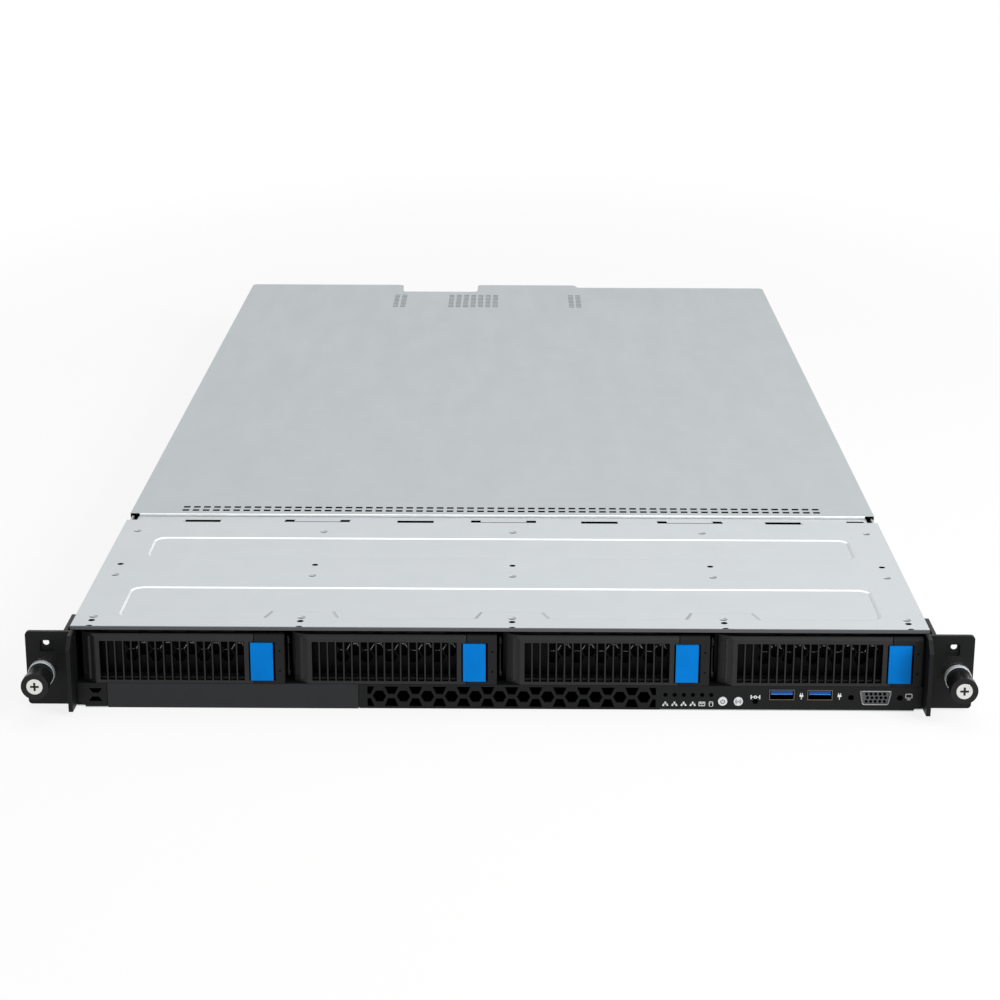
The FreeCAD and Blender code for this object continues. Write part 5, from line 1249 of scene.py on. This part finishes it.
# Sliding lid
HEM_PROUD = 0.35
HEM_BASE = 42.45
HEM_BACK = 0.15
HEM_INSET = 5.4
HEM_TURNS = [math.radians(-90 + 30 * step) for step in range(7)]
HEM_MARGIN = 0.3
HEM_ENDS = 0.2
HEM_DROP = 0.6


def lid_hem():
    """Rolled front edge of the sliding lid with a painted highlight, which shows as a bright line
    at the joint, and painted shade at both ends.
    """
    low, high = box_mm("top_cover")
    front, top = low[1], COVER_TOP - HAIR
    centre, half = (HEM_BASE + top) / 2, (top - HEM_BASE) / 2
    loop = [(front + HEM_BACK, HEM_BASE),
            *((front - HEM_PROUD * math.cos(turn), centre + half * math.sin(turn))
              for turn in HEM_TURNS), (front + HEM_BACK, top)]
    form = Form()
    form.block(loop, low[0] + HEM_INSET, high[0] - HEM_INSET, "x")
    form.finish("lid_hem", "edge_bright", "top_cover")
    # Painted shade: black blocks at both ends of the hem.
    ends = Form()
    for left, right in ((low[0] + HEM_MARGIN, low[0] + HEM_INSET),
                        (high[0] - HEM_INSET, high[0] - HEM_MARGIN)):
        ends.block(square(left, front - HEM_PROUD, right, front + HEM_ENDS),
                   HEM_BASE - HEM_DROP, top, "z")
    ends.finish("lid_hem_ends", "liner_black", "top_cover")


VENT_FIRST = 29.5
VENT_PITCH = 6.0
VENT_WIDE = 4.0
VENT_FAR_LINES = (8.3, 14.5)
VENT_SHADE_WALL = 0.15
VENT_DEEP = 0.99


def vent_shades():
    """Painted shade: a black far wall in each slot of the two vent rows of the lid."""
    low, high = box_mm("top_cover")
    count = int((high[0] - low[0] - 2 * VENT_FIRST) // VENT_PITCH) + 1
    form = Form()
    for index in range(count):
        left = low[0] + VENT_FIRST + index * VENT_PITCH
        for line in VENT_FAR_LINES:
            far = low[1] + line
            form.block(square(left + CLEAR, far - VENT_SHADE_WALL, left + VENT_WIDE - CLEAR,
                              far - CLEAR), COVER_TOP - VENT_DEEP, COVER_TOP - CLEAR, "z")
    form.finish("lid_vent_shades", "liner_black", "top_cover")


# Sides and rear: heads are radii and heights from the wall.
RIVET_PLACES = (96.0, 232.0, 300.0, 470.0, 560.0, 700.0)
RIVET_HEIGHT = 6.0
RIVET_HEAD = ((1.9, -0.05), (1.9, 0.15), (1.3, 0.42), (0.3, 0.5))


def wall_rivets():
    """Flat rivet heads along both side walls."""
    low, high = box_mm("chassis_base")
    form = Form()
    for side, wall in ((-1, low[0]), (1, high[0])):
        for along in RIVET_PLACES:
            form.turned(along, RIVET_HEIGHT, RIVET_HEAD, wall, "x", side, 16)
    form.finish("wall_rivets", "screw_steel")


SUPPLIES = (1, 2)
SUPPLY_FACE = 836.2
SUPPLY_LAMP = (27.0, 36.6)
LAMP_HEAD = dome(1.3, 0.7)
RIM_SUNK = 0.1
INLET_PLACE = (-19.0, 16.3)
INLET_HALF = (13.4, 9.5)
INLET_CORNER = 1.4
INLET_RIM = ((0, -RIM_SUNK), (0, 0.7), (0.3, 1.0), (1.05, 1.0), (1.05, -RIM_SUNK))


def supply_details():
    """Status lamp and raised inlet frame of each supply."""
    wide, tall = INLET_HALF
    for number in SUPPLIES:
        across = middle(f"power_supply_{number}")[0]
        lamp = Form()
        lamp.turned(across + SUPPLY_LAMP[0], SUPPLY_LAMP[1], LAMP_HEAD,
                    SUPPLY_FACE - RIM_SUNK)
        lamp.finish(f"supply_lamp_{number}", "lamp_green", f"supply_{number}")
        centre, height = across + INLET_PLACE[0], INLET_PLACE[1]
        outer = rounded(square(centre - wide, height - tall, centre + wide, height + tall),
                        INLET_CORNER)
        inlet = Form()
        inlet.rim(outer, INLET_RIM, SUPPLY_FACE)
        inlet.finish(f"inlet_frame_{number}", "black_plastic", f"supply_{number}")


JACK_FACE = 818.3
JACK_PLACES = (-76.5, -59.0)
BOARD_TOP = 7.6
JACK_PITCH = 1.02
# Contact in its upright plane: depth and height of both ends, and its thickness and half width.
CONTACT = ((JACK_FACE - 12.0, BOARD_TOP + 9.6), (JACK_FACE - 3.0, BOARD_TOP + 7.2), 0.35)
CONTACT_HALF = 0.25
JACK_LAMP_SIDE = 5.0
JACK_LAMP = (-1.2, 11.0, 1.2, 12.6, -0.2, 0.15)


def jack_details():
    """Gold contacts and two lamps in each network jack."""
    contacts, lamps = Form(), Form()
    for across in JACK_PLACES:
        for step in range(8):
            place = across + (step - 3.5) * JACK_PITCH
            contacts.block(stroke(*CONTACT), place - CONTACT_HALF,
                           place + CONTACT_HALF, "x")
        for side in (-1, 1):
            lamps.bar(across + side * JACK_LAMP_SIDE, BOARD_TOP, JACK_FACE, JACK_LAMP)
    contacts.finish("jack_contacts", "contact_gold")
    lamps.finish("jack_lamps", "lamp_green", soft=0.2)


SCREW_INSETS = (2.6, 3.4)
SCREW_PLACES = (-94.0, -16.0)
SCREW_HEIGHT = 17.6
SCREW_HEAD = ((2.6, -0.05), (2.6, 0.9), (2.1, 1.3), (0.9, 1.35), (0.8, 0.7))


def blank_screws():
    """Screws that hold the expansion blanks to the rear wall."""
    low, high = box_mm("slot_covers")
    rear = box_mm("chassis_base")[1][1]
    form = Form()
    for across in (low[0] + SCREW_INSETS[0], *SCREW_PLACES,
                   high[0] - SCREW_INSETS[1]):
        form.turned(across, SCREW_HEIGHT, SCREW_HEAD, rear)
    form.finish("blank_screws", "screw_steel")


for build in (
    make_camera, make_world, make_lights, make_floor, dress_nodes, panel_marks, pipe_ring_shades,
    power_mark, locator_mark, usb_details, vga_details, emboss_slopes, wedge_frames,
    divider_springs, knob_ribs, collar_sleeves, cross_shades, lid_hem, dimple_shades,
    cover_hole_shades, joint_gaps, vent_shades, slot_shades, latch_gaps, grid_glints,
    rail_ends, wall_rivets, supply_details, jack_details, blank_screws,
):
    build()

bpy.context.scene.view_settings.view_transform = "Standard"
